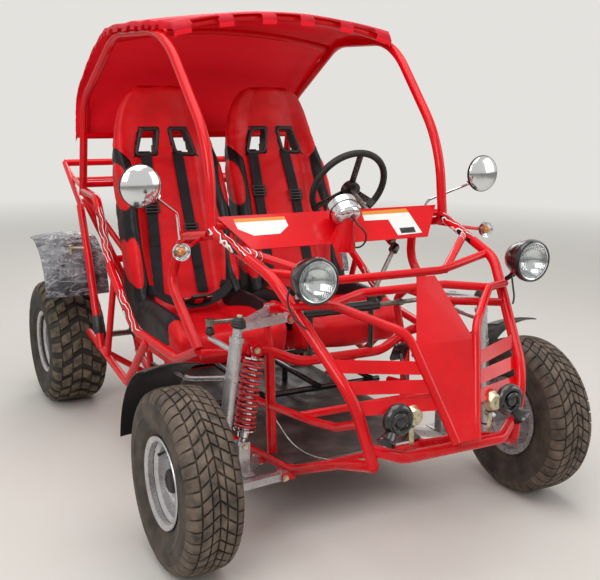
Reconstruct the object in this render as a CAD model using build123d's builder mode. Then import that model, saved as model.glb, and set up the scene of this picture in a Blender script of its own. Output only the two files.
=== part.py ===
from build123d import *
import math
import os

os.makedirs("parts", exist_ok=True)

# Units are millimetres. X points to the driver's left, Y rearwards, Z up from the ground.
# Stations in the tables are measured rearwards from the front axle and moved by at().

# Running gear
wheelbase = 1713
front_track = 1312
rear_track = 1153
tyre_radius = 279.5
front_tyre_width = 180
rear_tyre_width = 256
rim_radius = 127
rim_wall = 4
front_rim_width = 150
rear_rim_width = 208
seat_gap = 0.3
stub_r = 14
running_gap = 0.05

# Frame tube
main_r = 17
brace_r = 13
rack_r = 10
rod_r = 8

# Overall reach from the front axle, which centres the model on its origin
nose_tip = -508
rack_end = 2050
front_axle_y = -(nose_tip + rack_end + main_r) / 2
rear_axle_y = front_axle_y + wheelbase

# Named stations of the frame, as (half width, station, height)
pillar_foot = (452, 262, 980)
hoop_foot = (500, 1620, 955)
sill_front = (500, 250, 580)
bumper_foot = (250, -405, 395)
hood_corner = (408, -85, 885)
nose_joint = (385, -172, 818)
floor_height = 205
beam_end = (500, 250, 580)

# Steering
kingpin_low = (530, 45, 200)
kingpin_top = (465, 35, 700)
kingpin_r = 20
ball_r = 14
steering_centre = (245, 580, 1060)
steering_ring_r = 155
column_rake = 28
column_r = 10
rack_station = 205
rack_height = 690

# Rear swing arm
pivot_station = 1290
pivot_half = 245

# Seats
seat_centre = 244
seat_width = 430

sides = (("left", 1), ("right", -1))


def at(x, y, z):
    """A point given by half width, station from the front axle and height."""
    return (x, front_axle_y + y, z)


def on_side(side, point):
    """The same point on one side of the vehicle."""
    return at(side * point[0], point[1], point[2])


def add_tube(points, radius, bends=0):
    """Add a bent tube: straight runs joined by arcs, one bend radius for each corner."""
    with BuildLine() as centre:
        if len(points) == 2:
            Line(*points)
        else:
            FilletPolyline(*points, radius=bends)
    with BuildSketch(centre.line ^ 0) as section:
        Circle(radius)
    sweep(sections=section.sketch, path=centre.line)


def add_pair(points, radius, bends=0):
    """Add the same tube on both sides."""
    for _, side in sides:
        add_tube([on_side(side, p) for p in points], radius, bends)


def add_cross(points, radius, bends=0):
    """Add a tube across the centre plane, given by its right half up to the middle."""
    left = [at(x, y, z) for x, y, z in points]
    right = [at(-x, y, z) for x, y, z in reversed(points)]
    add_tube(left + right, radius, bends)


def add_bow(half, station, height, rise, radius):
    """Add a roof bar bowed upwards between the two sides."""
    with BuildLine() as centre:
        ThreePointArc(at(-half, station, height), at(0, station, height + rise),
                      at(half, station, height))
    with BuildSketch(centre.line ^ 0) as section:
        Circle(radius)
    sweep(sections=section.sketch, path=centre.line)


def cope(*neighbours):
    """Cut the tube ends to the shape of the pieces that they are welded to."""
    for neighbour in neighbours:
        add(neighbour.part, mode=Mode.SUBTRACT)


def save(builder, name):
    """Label a finished piece and write it."""
    builder.part.label = name
    export_step(builder.part, f"parts/{name}.step")


# Floor frame
rail_path = [bumper_foot, (250, -215, 332), (255, 60, floor_height), (330, 480, floor_height),
             (330, 1240, floor_height), (285, 1560, 230)]
cross_stations = ((480, 330), (860, 330), (1240, 330))
with BuildPart() as floor_frame:
    add_pair(rail_path, main_r, [160, 160, 300, 300])
    for station, half in cross_stations:
        add_tube([at(-half, station, floor_height), at(half, station, floor_height)], brace_r)
    add_tube([at(-255, 60, floor_height), at(255, 60, floor_height)], brace_r)
    add_tube([at(-285, 1560, 230), at(285, 1560, 230)], main_r)
save(floor_frame, "floor_frame")

# Roll cage: each side is one tube from the dash over the roof to the rear foot
cage_side = [pillar_foot, (446, 290, 1240), (462, 640, 1610), (490, 1110, 1618),
             (500, 1548, 1365), hoop_foot]
cage_bends = [420, 330, 300, 180]
with BuildPart() as roll_cage:
    add_pair(cage_side, main_r, cage_bends)
    add_bow(459, 655, 1605, 68, brace_r)
    add_bow(494, 1180, 1598, 52, brace_r)
    add_tube([at(-500, 1572, 1215), at(500, 1572, 1215)], brace_r)
    add_tube([at(-500, 1612, 1000), at(500, 1612, 1000)], brace_r)
    add_tube([at(-452, 274, 991), at(452, 274, 991)], brace_r)
    cope(floor_frame)
save(roll_cage, "roll_cage")

# Side bars: the dipped entry bar, its front leg, and the lower step rail
entry_bar = [(500, 1600, 975), (528, 1300, 975), (552, 1050, 720), (552, 760, 545),
             (515, 420, 520), (500, 262, 590)]
front_leg = [(452, 280, 962), (470, 470, 930), (500, 520, 770), (500, 262, 590)]
step_rail = [(552, 1400, 385), (545, 900, 300), (552, 640, 530)]
rear_leg = [(505, 1655, 900), (552, 1370, 700), (552, 1225, 358)]
side_bar_nodes = []
rear_stay_nodes = []
mid_leg = [(552, 1015, 680), (552, 1060, 560), (552, 1135, 345)]
for name, side in sides:
    with BuildPart() as side_bars:
        add_tube([on_side(side, p) for p in entry_bar], main_r, [110, 180, 220, 130])
        add_tube([on_side(side, p) for p in front_leg], main_r, [70, 80])
        add_tube([on_side(side, p) for p in step_rail], brace_r + 2, [40])
        add_tube([on_side(side, p) for p in mid_leg], brace_r, [60])
        for station in (900, 1200):
            add_tube([at(side * 548, station, 300 + (station - 900) * 0.17),
                      at(side * 332, station, floor_height)], brace_r)
        cope(roll_cage, floor_frame)
    side_bar_nodes.append(side_bars)
    save(side_bars, f"{name}_side_bars")

for name, side in sides:
    with BuildPart() as rear_stay:
        add_tube([on_side(side, p) for p in rear_leg], main_r, [260])
        cope(roll_cage, *side_bar_nodes)
    rear_stay_nodes.append(rear_stay)
    save(rear_stay, f"{name}_rear_stay")

# Hood: side tubes, inner nose tubes and the hoops that tie them
hood_side = [pillar_foot, hood_corner, (300, -375, 585), bumper_foot]
nose_tube = [nose_joint, (285, -215, 822), (120, -362, 752), (35, -495, 458)]
with BuildPart() as hood_tubes:
    add_pair(hood_side, main_r, [150, 240])
    add_pair(nose_tube, brace_r, [90, 90])
    add_cross([(413, -45, 895), (190, -92, 862)], brace_r, [60, 60])
    add_cross([(290, -212, 820), (153, -160, 832)], brace_r, [60, 60])
    add_pair([(425, 95, 940), (205, -92, 862)], brace_r)
    cope(roll_cage, floor_frame, *side_bar_nodes)
save(hood_tubes, "hood_tubes")

# Front frame: cross beam, towers, mid rails
beam_half = [beam_end, (290, 215, 580), (161, 200, 524)]
top_rail = [(262, 225, 585), (262, 262, 690), (264, 200, 735), (268, 0, 735), (356, -206, 765)]
mid_rail = [(270, 300, 372), (270, -100, 428), (270, -230, 455), (283, -385, 520)]
with BuildPart() as front_frame:
    add_cross(beam_half, main_r, [150, 150, 150, 150])
    add_pair([(272, 209, 575), (268, 190, floor_height + 5)], main_r)
    add_pair(mid_rail, brace_r, [200, 120])
    add_pair(top_rail, brace_r, [35, 35, 60])
    add_tube([at(-266, 0, 414), at(266, 0, 414)], brace_r)
    cope(floor_frame, hood_tubes, *side_bar_nodes)
save(front_frame, "front_frame")

# Floor pan, a folded sheet on top of the rails
pan_thickness = 2
pan_z = floor_height + main_r + seat_gap
with BuildPart() as floor_pan:
    with BuildSketch(Plane.XY.offset(pan_z)):
        with BuildLine():
            Polyline(at(-262, 70, 0)[:2], at(262, 70, 0)[:2], at(336, 480, 0)[:2],
                     at(336, 1180, 0)[:2], at(-336, 1180, 0)[:2], at(-336, 480, 0)[:2], close=True)
        make_face()
    extrude(amount=pan_thickness)
    cope(floor_frame, front_frame)
save(floor_pan, "floor_pan")

# Front bumper
with BuildPart() as front_bumper:
    add_cross([(250, -392, 440), (173, -440, 420)], main_r, [60, 60])
    cope(hood_tubes, floor_frame)
save(front_bumper, "front_bumper")

# Rear cage: uprights from the floor rails to the rear feet, engine rails, shock mounts
with BuildPart() as rear_cage:
    add_pair([(285, 1548, 235), (330, 1590, 560), (495, 1615, 940)], main_r, [260])
    add_pair([(330, 1240, floor_height), (340, 1330, 640), (500, 1600, 960)], brace_r, [160])
    add_tube([at(-322, 1580, 500), at(322, 1580, 500)], brace_r)
    add_tube([at(-338, 1325, 620), at(338, 1325, 620)], brace_r)
    for x in (-pivot_half - seat_gap - 6, pivot_half + seat_gap):
        with BuildSketch(Plane.YZ.offset(x)):
            with BuildLine():
                Polyline((front_axle_y + 1222, floor_height), (front_axle_y + 1262, floor_height),
                         (front_axle_y + 1318, 250), (front_axle_y + 1312, 290),
                         (front_axle_y + 1268, 290), close=True)
            make_face()
        extrude(amount=6)
    cope(floor_frame, roll_cage, *side_bar_nodes, *rear_stay_nodes)
save(rear_cage, "rear_cage")

# Rear rack with four drilled tabs between its cross bars
rack_bar_z = 998
rack_bar_stations = (1760, 1890)
tab_t = 4
tab_width = 30
tab_length = 38
tab_hole_offset = 25
tab_hole_r = 4.5
tab_spacing_x = 300
with BuildPart() as rear_rack:
    add_pair([(503, 1648, 895), (470, rack_end, 1064)], rack_r + 2)
    add_tube([at(-470, rack_end, 1064), at(470, rack_end, 1064)], main_r)
    add_pair([(500, 1618, 985), (470, 1900, 1005), (470, 2045, 1060)], rack_r, [60])
    for station in rack_bar_stations:
        add_tube([at(-480, station, rack_bar_z), at(480, station, rack_bar_z)], rack_r)
    for _, side in sides:
        for inward, station in zip((1, -1), rack_bar_stations):
            hole_y = station + inward * tab_hole_offset
            with BuildSketch(Plane.XY.offset(rack_bar_z + rack_r - tab_t)):
                with Locations(at(side * tab_spacing_x / 2, station + inward * tab_length / 2, 0)[:2]):
                    Rectangle(tab_width, tab_length)
                with Locations(at(side * tab_spacing_x / 2, hole_y, 0)[:2]):
                    Circle(tab_hole_r, mode=Mode.SUBTRACT)
            extrude(amount=tab_t)
    cope(roll_cage, rear_cage, *side_bar_nodes, *rear_stay_nodes)
save(rear_rack, "rear_rack")

# Nose panel: a kite of sheet folded at the knee
panel_t = 3
nose_rows = ((32, -269, 890), (101, -378, 716), (29, -504, 463))
with BuildPart() as nose_panel:
    for upper, lower in zip(nose_rows, nose_rows[1:]):
        down = Vector(0, lower[1] - upper[1], lower[2] - upper[2])
        face_plane = Plane(origin=at(0, upper[1], upper[2]), x_dir=(1, 0, 0),
                           z_dir=Vector(1, 0, 0).cross(down))
        run = down.length
        with BuildSketch(face_plane):
            with BuildLine():
                Polyline((-upper[0], 0), (upper[0], 0), (lower[0], run), (-lower[0], run), close=True)
            make_face()
        extrude(amount=panel_t / 2, both=True)
    cope(hood_tubes)
save(nose_panel, "nose_panel")

# Hood slats, three a side between hood tube and nose tube
slat_width = 38
slat_t = 3
slat_table = (
    # outer half width, outer station, outer height, inner half width, inner station, inner height
    (325, -302, 668, 100, -400, 660),
    (303, -340, 612, 84, -425, 612),
    (290, -365, 556, 70, -447, 566),
)
with BuildPart() as hood_slats:
    for _, side in sides:
        for x1, y1, z1, x2, y2, z2 in slat_table:
            outer = Vector(*at(side * x1, y1, z1))
            inner = Vector(*at(side * x2, y2, z2))
            along = inner - outer
            up = Vector(0, 0.5, 1)
            normal = along.cross(up)
            with BuildSketch(Plane(origin=(outer + inner) / 2, x_dir=along, z_dir=normal)):
                Rectangle(along.length, slat_width)
            extrude(amount=slat_t / 2, both=True)
    cope(hood_tubes)
save(hood_slats, "hood_slats")

# Dash panel
dash_rows = ((430, 277, 1018), (340, 192, 920))
upper, lower = dash_rows
down = Vector(0, lower[1] - upper[1], lower[2] - upper[2])
dash_normal = down.cross(Vector(1, 0, 0))
with BuildPart() as dash_panel:
    with BuildSketch(Plane(origin=at(0, upper[1], upper[2]), x_dir=(1, 0, 0),
                           z_dir=Vector(1, 0, 0).cross(down))):
        with BuildLine():
            Polyline((-upper[0], 0), (upper[0], 0), (lower[0], down.length),
                     (-lower[0], down.length), close=True)
        make_face()
    extrude(amount=1.5, both=True)
save(dash_panel, "dash_panel")

# Canopy: one sheet crowned over the roof bars that hangs down behind the seats
canopy_t = 4
canopy_rows = (
    # station, height of the lower face at the edge, half width, crown, fall of the path in degrees
    (632, 1633, 484, 53, 0),
    (1090, 1640, 514, 56, 2),
    (1240, 1600, 518, 50, 26),
    (1520, 1433, 522, 20, 36),
    (1584, 1330, 522, 8, 76),
    (1600, 1200, 522, 6, 82),
)
with BuildPart() as canopy:
    for station, height, half, crown, fall in canopy_rows:
        tilt = math.radians(fall)
        across = Plane(origin=at(0, station, height), x_dir=(1, 0, 0),
                       z_dir=(0, -math.cos(tilt), math.sin(tilt)))
        with BuildSketch(across):
            with BuildLine():
                ThreePointArc((-half, 0), (0, crown), (half, 0))
                ThreePointArc((-half, canopy_t), (0, crown + canopy_t), (half, canopy_t))
                Line((-half, 0), (-half, canopy_t))
                Line((half, 0), (half, canopy_t))
            make_face()
    loft(ruled=True)
save(canopy, "canopy")

# Seat rails on posts from the floor frame
seat_base = 300
seat_rail_r = 12
with BuildPart() as seat_rails:
    for _, side in sides:
        for offset in (-120, 120):
            x = side * seat_centre + offset
            rail_z = seat_base - seat_gap - seat_rail_r
            add_tube([at(x, 570, rail_z), at(x, 1120, rail_z)], seat_rail_r)
            for station in (860,):
                add_tube([at(x, station, floor_height), at(x, station, rail_z)], seat_rail_r)
    for station in (600, 1090):
        add_tube([at(-420, station, seat_base - 30), at(420, station, seat_base - 30)], seat_rail_r)
        add_pair([(330, station, floor_height), (330, station, seat_base - 30)], seat_rail_r)
    cope(floor_frame, floor_pan)
save(seat_rails, "seat_rails")

# Seats
for name, side in sides:
    cx = side * seat_centre
    with BuildPart() as seat:
        with BuildSketch(Plane.YZ.offset(cx)):
            with BuildLine():
                Polyline((front_axle_y + 560, 300), (front_axle_y + 560, 450),
                         (front_axle_y + 1010, 430), (front_axle_y + 1250, 1400),
                         (front_axle_y + 1330, 1435), (front_axle_y + 1370, 1380),
                         (front_axle_y + 1130, 330), close=True)
            make_face()
        extrude(amount=seat_width / 2, both=True)
    save(seat, f"{name}_seat")

# Speedometer on its cone
can_r = 52
can_depth = 72
with BuildPart() as speedometer:
    with BuildSketch(Plane(origin=at(0, 154, 1022), x_dir=(1, 0, 0), z_dir=(0, 1, 0))):
        Circle(can_r)
    extrude(amount=can_depth)
    with BuildSketch(Plane.XY.offset(915)):
        with Locations(at(-6, 200, 0)[:2]):
            Circle(44)
    with BuildSketch(Plane.XY.offset(985)):
        with Locations(at(0, 192, 0)[:2]):
            Circle(24)
    loft()
    split(bisect_by=Plane(origin=at(0, dash_rows[0][1], dash_rows[0][2]), x_dir=(1, 0, 0),
                          z_dir=dash_normal).offset(1.5), keep=Keep.TOP)
save(speedometer, "speedometer")

# Headlights on their brackets
lamp_r = 62
lamp_depth = 95
with BuildPart() as headlights:
    for _, side in sides:
        back = Plane(origin=on_side(side, (377, -205, 905)), x_dir=(1, 0, 0), z_dir=(0, -1, 0))
        with BuildSketch(back):
            Circle(lamp_r)
        extrude(amount=lamp_depth)
        add_tube([on_side(side, (381, -180, 835)), on_side(side, (377, -240, 850))], rod_r)
    cope(hood_tubes)
save(headlights, "headlights")

# Turn signals
with BuildPart() as turn_signals:
    for _, side in sides:
        with BuildSketch(Plane(origin=on_side(side, (560, 190, 934)), x_dir=(1, 0, 0),
                               z_dir=(0, -1, 0))):
            Circle(24)
        extrude(amount=40)
        add_tube([on_side(side, (462, 330, 950)), on_side(side, (560, 185, 934))], 6)
    cope(roll_cage, *side_bar_nodes)
save(turn_signals, "turn_signals")

# Mirrors
mirror_r = 67
mirror_stalk = [(487, 455, 925), (505, 430, 1020), (615, 320, 1085)]
for name, side in sides:
    with BuildPart() as mirror_piece:
        add_tube([on_side(side, p) for p in mirror_stalk], 5, [20])
        with BuildSketch(Plane(origin=on_side(side, (667, 290, 1122)), x_dir=(1, 0, 0),
                               z_dir=(0, 1, 0))):
            Circle(mirror_r)
        extrude(amount=24)
        add_tube([on_side(side, (610, 325, 1082)), on_side(side, (655, 302, 1110))], 5)
        cope(*side_bar_nodes)
    save(mirror_piece, f"{name}_mirror")

# Horns
with BuildPart() as horns:
    for _, side in sides:
        with BuildSketch(Plane(origin=on_side(side, (182, -428, 520)), x_dir=(1, 0, 0),
                               z_dir=(0, -1, 0))):
            Circle(43)
        extrude(amount=40)
        add_tube([on_side(side, (182, -440, 500)), on_side(side, (170, -440, 425))], 7)
    cope(hood_tubes, front_bumper, hood_slats)
save(horns, "horns")

# Pedals
with BuildPart() as pedals:
    for x in (160, 250):
        add_tube([at(x, 15, 414), at(x, 75, 545)], 6)
        with BuildSketch(Plane(origin=at(x, 75, 550), x_dir=(1, 0, 0), z_dir=(0, 1, 0.5))):
            RectangleRounded(62, 70, 8)
        extrude(amount=6)
    cope(front_frame)
save(pedals, "pedals")

# Front suspension arms
arm_w = 25
lower_inner_front = (268, 72, 190)
lower_inner_rear = (268, 258, 190)
upper_inner_front = (275, 20, 734)
upper_inner_rear = (275, 170, 734)


def add_square(start, end, width):
    """Add a straight square tube between two points."""
    run = Vector(*end) - Vector(*start)
    with BuildSketch(Plane(origin=start, z_dir=run)) as section:
        Rectangle(width, width)
    extrude(section.sketch, amount=run.length)


def add_ball_housing(side, centre):
    """Add the round housing of a ball joint, in line with the kingpin."""
    line = Vector(*on_side(side, kingpin_top)) - Vector(*on_side(side, kingpin_low))
    start = Vector(*centre) - line.normalized() * ball_r
    with BuildSketch(Plane(origin=start, z_dir=line)) as section:
        Circle(ball_r + 1)
    extrude(section.sketch, amount=2 * ball_r)


for name, side in sides:
    with BuildPart() as lower_arm:
        tip = (522, 45, 190)
        for inner in (lower_inner_front, lower_inner_rear):
            add_square(on_side(side, inner), on_side(side, tip), arm_w)
        add_ball_housing(side, on_side(side, kingpin_low))
        cope(floor_frame, front_frame)
    save(lower_arm, f"{name}_lower_arm")
    with BuildPart() as upper_arm:
        tip = (460, 35, 715)
        for inner in (upper_inner_front, upper_inner_rear):
            add_square(on_side(side, inner), on_side(side, tip), arm_w - 3)
        add_ball_housing(side, on_side(side, kingpin_top))
        cope(hood_tubes, front_frame)
    save(upper_arm, f"{name}_upper_arm")

# Front coil-over units
shock_top = (310, 240, 585)
shock_low = (372, 205, 262)
spring_r = 36
wire_r = 4.5
for name, side in sides:
    top = Vector(*on_side(side, shock_top))
    low = Vector(*on_side(side, shock_low))
    axis_dir = (low - top).normalized()
    with BuildPart() as shock:
        with BuildSketch(Plane(origin=top + axis_dir * 20, z_dir=axis_dir)):
            Circle(spring_r)
        extrude(amount=(low - top).length - 40)
        for eye in (top, low):
            with BuildSketch(Plane(origin=eye - Vector(0, 14, 0), z_dir=(0, 1, 0))):
                Circle(16)
            extrude(amount=28)
            with BuildSketch(Plane(origin=top, z_dir=axis_dir)):
                Circle(10)
            extrude(amount=(low - top).length)
        cope(front_frame)
    save(shock, f"{name}_front_shock")

# Knuckles: kingpin tube, stub axle, steering arm
arm_tip = (480, 215, 640)
knuckle_nodes = {}
for name, side in sides:
    low = Vector(*on_side(side, kingpin_low))
    top = Vector(*on_side(side, kingpin_top))
    axis_dir = (top - low).normalized()
    with BuildPart() as knuckle:
        with BuildSketch(Plane(origin=low + axis_dir * (ball_r + seat_gap), z_dir=axis_dir)):
            Circle(kingpin_r)
        extrude(amount=(top - low).length - 2 * (ball_r + seat_gap))
        with BuildSketch(Plane(origin=at(side * 520, 0, tyre_radius), z_dir=(side, 0, 0))):
            Circle(stub_r)
        extrude(amount=front_track / 2 - 520 + 30)
        add_tube([on_side(side, (473, 36, 640)), on_side(side, arm_tip)], 9)
        add_tube([on_side(side, (515, 40, 300)), at(side * 530, 0, tyre_radius)], 16)
    knuckle_nodes[name] = knuckle
    save(knuckle, f"{name}_knuckle")

# Front fenders and their brackets
fender_r = 345
fender_t = 4
for name, side in sides:
    with BuildPart() as front_fender:
        with BuildSketch(Plane(origin=at(side * 650, 0, tyre_radius), x_dir=(0, 1, 0),
                               z_dir=(1, 0, 0))):
            with BuildLine():
                outer = CenterArc((0, 0), fender_r + fender_t, 0, 82)
                inner = CenterArc((0, 0), fender_r, 0, 82)
                Line(outer @ 0, inner @ 0)
                Line(outer @ 1, inner @ 1)
            make_face()
        extrude(amount=90, both=True)
        add_tube([on_side(side, (500, 40, 560)), on_side(side, (535, 250, 500)),
                  on_side(side, (600, 215, 560))], 9, [50])
        cope(knuckle_nodes[name])
    save(front_fender, f"{name}_front_fender")

# Steering rack, column and wheel
rack_travel = 75
rack_clearance = 5
rack_bar_r = 9
rack_tube_r = 19
rack_tube_half = 146
rod_ball_r = 12
rod_joint_x = rack_tube_half + rack_travel + rack_clearance + rod_ball_r
arm_end = (480, rack_station + 10, 692)
with BuildPart() as rack_housing:
    add_tube([at(-rack_tube_half, rack_station, rack_height),
              at(rack_tube_half, rack_station, rack_height)], rack_tube_r)
    for x in (-120, 120):
        add_tube([at(x, rack_station, rack_height - 12), at(x, rack_station - 2, 528)], 9)
    with BuildSketch(Plane.YZ.offset(-rack_tube_half)):
        with Locations(at(0, rack_station, rack_height)[1:]):
            Circle(rack_bar_r + running_gap)
    extrude(amount=2 * rack_tube_half, mode=Mode.SUBTRACT)
    cope(front_frame)
save(rack_housing, "rack_housing")

with BuildPart() as tie_rods:
    add_tube([at(-rod_joint_x, rack_station, rack_height), at(rod_joint_x, rack_station, rack_height)],
             rack_bar_r)
    for _, side in sides:
        inner = at(side * rod_joint_x, rack_station, rack_height)
        with BuildSketch(Plane(origin=inner, z_dir=(1, 0, 0))):
            Circle(rod_ball_r)
        extrude(amount=rod_ball_r, both=True)
        add_tube([inner, on_side(side, arm_end)], rod_r)
        with BuildSketch(Plane.XY.offset(arm_end[2] - rod_ball_r)):
            with Locations(on_side(side, arm_end)[:2]):
                Circle(rod_ball_r + 2)
        extrude(amount=2 * rod_ball_r)
save(tie_rods, "tie_rods")

rake = math.radians(column_rake)
column_dir = Vector(0, -math.cos(rake), -math.sin(rake))
hub = Vector(*at(*steering_centre))
with BuildPart() as steering_wheel:
    wheel_plane = Plane(origin=hub, x_dir=(1, 0, 0), z_dir=-column_dir)
    with BuildSketch(Plane(origin=hub + Vector(steering_ring_r, 0, 0), z_dir=wheel_plane.y_dir)):
        Circle(13)
    revolve(axis=Axis(hub, wheel_plane.z_dir))
    with BuildSketch(wheel_plane.offset(-25)):
        Circle(34)
    extrude(amount=24)
    for turn in (90, 210, 330):
        tip = hub + wheel_plane.x_dir * (math.cos(math.radians(turn)) * steering_ring_r) \
            + wheel_plane.y_dir * (math.sin(math.radians(turn)) * steering_ring_r)
        add_tube([hub - wheel_plane.z_dir * 12, tip], 7)
    add_tube([hub - wheel_plane.z_dir * 20,
              hub + column_dir * 360], column_r)
save(steering_wheel, "steering_wheel")

# Column support under the dash bar
bush_start = 296
bush_length = 50
with BuildPart() as column_support:
    with BuildSketch(Plane(origin=hub + column_dir * bush_start, z_dir=column_dir)):
        Circle(17)
    extrude(amount=bush_length)
    with BuildSketch(Plane.YZ.offset(hub.X)):
        with BuildLine():
            Polyline((front_axle_y + 262, 991), (front_axle_y + 286, 991),
                     (front_axle_y + 308, 925), (front_axle_y + 278, 908), close=True)
        make_face()
    extrude(amount=4, both=True)
    with BuildSketch(Plane(origin=hub + column_dir * (bush_start - 5), z_dir=column_dir)):
        Circle(column_r + running_gap)
    extrude(amount=bush_length + 10, mode=Mode.SUBTRACT)
    cope(roll_cage)
save(column_support, "column_support")

# Front wheels
for name, side in sides:
    centre = Vector(*at(side * front_track / 2, 0, tyre_radius))
    spin = Axis(centre, (1, 0, 0))
    profile = Plane(origin=centre, x_dir=(1, 0, 0), z_dir=(0, -1, 0))
    with BuildPart() as tyre:
        with BuildSketch(profile):
            with BuildLine():
                w = front_tyre_width / 2
                Polyline((-w + 22, rim_radius + 4), (-w, rim_radius + 50), (-w + 4, tyre_radius - 40),
                         (-w + 30, tyre_radius), (w - 30, tyre_radius), (w - 4, tyre_radius - 40),
                         (w, rim_radius + 50), (w - 22, rim_radius + 4), close=True)
            make_face()
        revolve(axis=spin)
    save(tyre, f"{name}_front_tyre")
    with BuildPart() as rim:
        with BuildSketch(profile):
            with BuildLine():
                w = front_rim_width / 2
                Polyline((-w, rim_radius + 3.7), (-w, rim_radius - 6), (-40, rim_radius - 20),
                         (-40, stub_r + running_gap), (30, stub_r + running_gap), (30, 60), (w, rim_radius - 6), (w, rim_radius + 3.7), close=True)
            make_face()
        revolve(axis=spin)
    save(rim, f"{name}_front_rim")

# Rear axle with both rear wheels
for name, side in sides:
    centre = Vector(*at(side * rear_track / 2, wheelbase, tyre_radius))
    spin = Axis(centre, (1, 0, 0))
    profile = Plane(origin=centre, x_dir=(1, 0, 0), z_dir=(0, -1, 0))
    with BuildPart() as tyre:
        with BuildSketch(profile):
            with BuildLine():
                w = rear_tyre_width / 2
                Polyline((-w + 22, rim_radius + 4), (-w, rim_radius + 50), (-w + 4, tyre_radius - 40),
                         (-w + 30, tyre_radius), (w - 30, tyre_radius), (w - 4, tyre_radius - 40),
                         (w, rim_radius + 50), (w - 22, rim_radius + 4), close=True)
            make_face()
        revolve(axis=spin)
    save(tyre, f"{name}_rear_tyre")
    with BuildPart() as rim:
        with BuildSketch(profile):
            with BuildLine():
                w = rear_rim_width / 2
                Polyline((-w, rim_radius + 3.7), (-w, rim_radius - 6), (-40, rim_radius - 20), (-40, 16),
                         (30, 16), (30, 60), (w, rim_radius - 6), (w, rim_radius + 3.7), close=True)
            make_face()
        revolve(axis=spin)
    save(rim, f"{name}_rear_rim")

axle_r = 16
with BuildPart() as rear_axle:
    half = rear_track / 2 + 36
    add_tube([at(-half, wheelbase, tyre_radius), at(half, wheelbase, tyre_radius)], axle_r)
    for x, r, t in ((110, 88, 7), (-140, 90, 5)):
        with BuildSketch(Plane.YZ.offset(x)):
            with Locations((rear_axle_y, tyre_radius)):
                Circle(r)
        extrude(amount=t)
save(rear_axle, "rear_axle")

# Swing arm and bearing housings
with BuildPart() as swing_arm:
    for x in (-215, 215):
        add_tube([at(x, pivot_station, 262), at(x, wheelbase - 40, 272)], 18)
        with BuildSketch(Plane.YZ.offset(x - 25)):
            with Locations((rear_axle_y, tyre_radius)):
                Circle(44)
                Circle(axle_r + 0.05, mode=Mode.SUBTRACT)
        extrude(amount=50)
    add_tube([at(-pivot_half, pivot_station, 262), at(pivot_half, pivot_station, 262)], 20)
save(swing_arm, "swing_arm")

for name, side in sides:
    top = Vector(*at(side * 255, 1500, 700))
    low = Vector(*at(side * 215, 1640, 330))
    axis_dir = (low - top).normalized()
    with BuildPart() as shock:
        with BuildSketch(Plane(origin=top + axis_dir * 22, z_dir=axis_dir)):
            Circle(34)
        extrude(amount=(low - top).length - 60)
        with BuildSketch(Plane(origin=top, z_dir=axis_dir)):
            Circle(10)
        extrude(amount=(low - top).length)
        cope(rear_cage, swing_arm)
    save(shock, f"{name}_rear_shock")

# Engine
with BuildPart() as engine:
    with Locations(at(-10, 1440, 420)):
        Box(300, 220, 260)
save(engine, "engine")

# Exhaust
with BuildPart() as exhaust:
    add_tube([at(120, 1500, 430), at(120, 1640, 560), at(120, 1950, 560)], 18, [60])
    with BuildSketch(Plane(origin=at(120, 1700, 560), z_dir=(0, 1, 0))):
        Circle(48)
    extrude(amount=240)
    cope(engine, rear_cage)
save(exhaust, "exhaust")

# Rear fenders
for name, side in sides:
    with BuildPart() as rear_fender:
        with BuildSketch(Plane(origin=at(side * 630, wheelbase, tyre_radius), x_dir=(0, 1, 0),
                               z_dir=(1, 0, 0))):
            with BuildLine():
                outer = CenterArc((0, 0), 434, 40, 110)
                inner = CenterArc((0, 0), 430, 40, 110)
                Line(outer @ 0, inner @ 0)
                Line(outer @ 1, inner @ 1)
            make_face()
        extrude(amount=105, both=True)
        for start, end in (((552, 1328, 600), (552, 1424, 600)), ((552, 1290, 515), (552, 1352, 515))):
            add_tube([on_side(side, start), on_side(side, end)], 7)
        cope(*rear_stay_nodes)
    save(rear_fender, f"{name}_rear_fender")
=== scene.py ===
import math

import bmesh
import bpy
from mathutils import Matrix, Vector, noise


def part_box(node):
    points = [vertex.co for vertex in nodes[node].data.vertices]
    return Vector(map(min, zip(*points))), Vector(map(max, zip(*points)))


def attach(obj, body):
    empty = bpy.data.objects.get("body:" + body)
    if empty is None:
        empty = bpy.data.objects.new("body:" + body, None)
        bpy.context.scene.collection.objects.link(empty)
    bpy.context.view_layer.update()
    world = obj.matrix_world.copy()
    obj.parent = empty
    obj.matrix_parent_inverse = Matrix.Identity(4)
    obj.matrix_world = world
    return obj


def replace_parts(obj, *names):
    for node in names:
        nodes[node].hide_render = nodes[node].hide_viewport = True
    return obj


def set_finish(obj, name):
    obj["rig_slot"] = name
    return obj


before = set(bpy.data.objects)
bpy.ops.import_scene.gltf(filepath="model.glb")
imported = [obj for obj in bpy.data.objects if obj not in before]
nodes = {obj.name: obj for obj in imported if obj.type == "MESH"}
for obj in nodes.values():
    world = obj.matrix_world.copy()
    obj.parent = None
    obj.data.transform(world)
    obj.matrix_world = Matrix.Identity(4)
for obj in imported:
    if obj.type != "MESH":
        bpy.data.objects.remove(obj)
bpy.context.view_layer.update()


# Places: vectors are in metres, and at() and rear() make them from millimetres
def middle(node):
    """The middle of a node's box."""
    low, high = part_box(node)
    return (low + high) / 2


front_hub = middle("left_front_rim")
rear_hub = middle("left_rear_rim")
tyre_radius = front_hub.z
wheelbase_mm = (rear_hub.y - front_hub.y) * 1000
sides = (("left", 1), ("right", -1))


def at(x, y, z):
    """A point from millimetres: distance to the left, station behind the front axle and height."""
    return Vector((x / 1000, front_hub.y + y / 1000, z / 1000))


def rear(x, y, z):
    """The same with the station measured from the rear axle."""
    return at(x, wheelbase_mm + y, z)


def about_x(angle):
    """The direction at an angle about the X axis, from rearward through up."""
    return Vector((0, math.cos(angle), math.sin(angle)))


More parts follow.
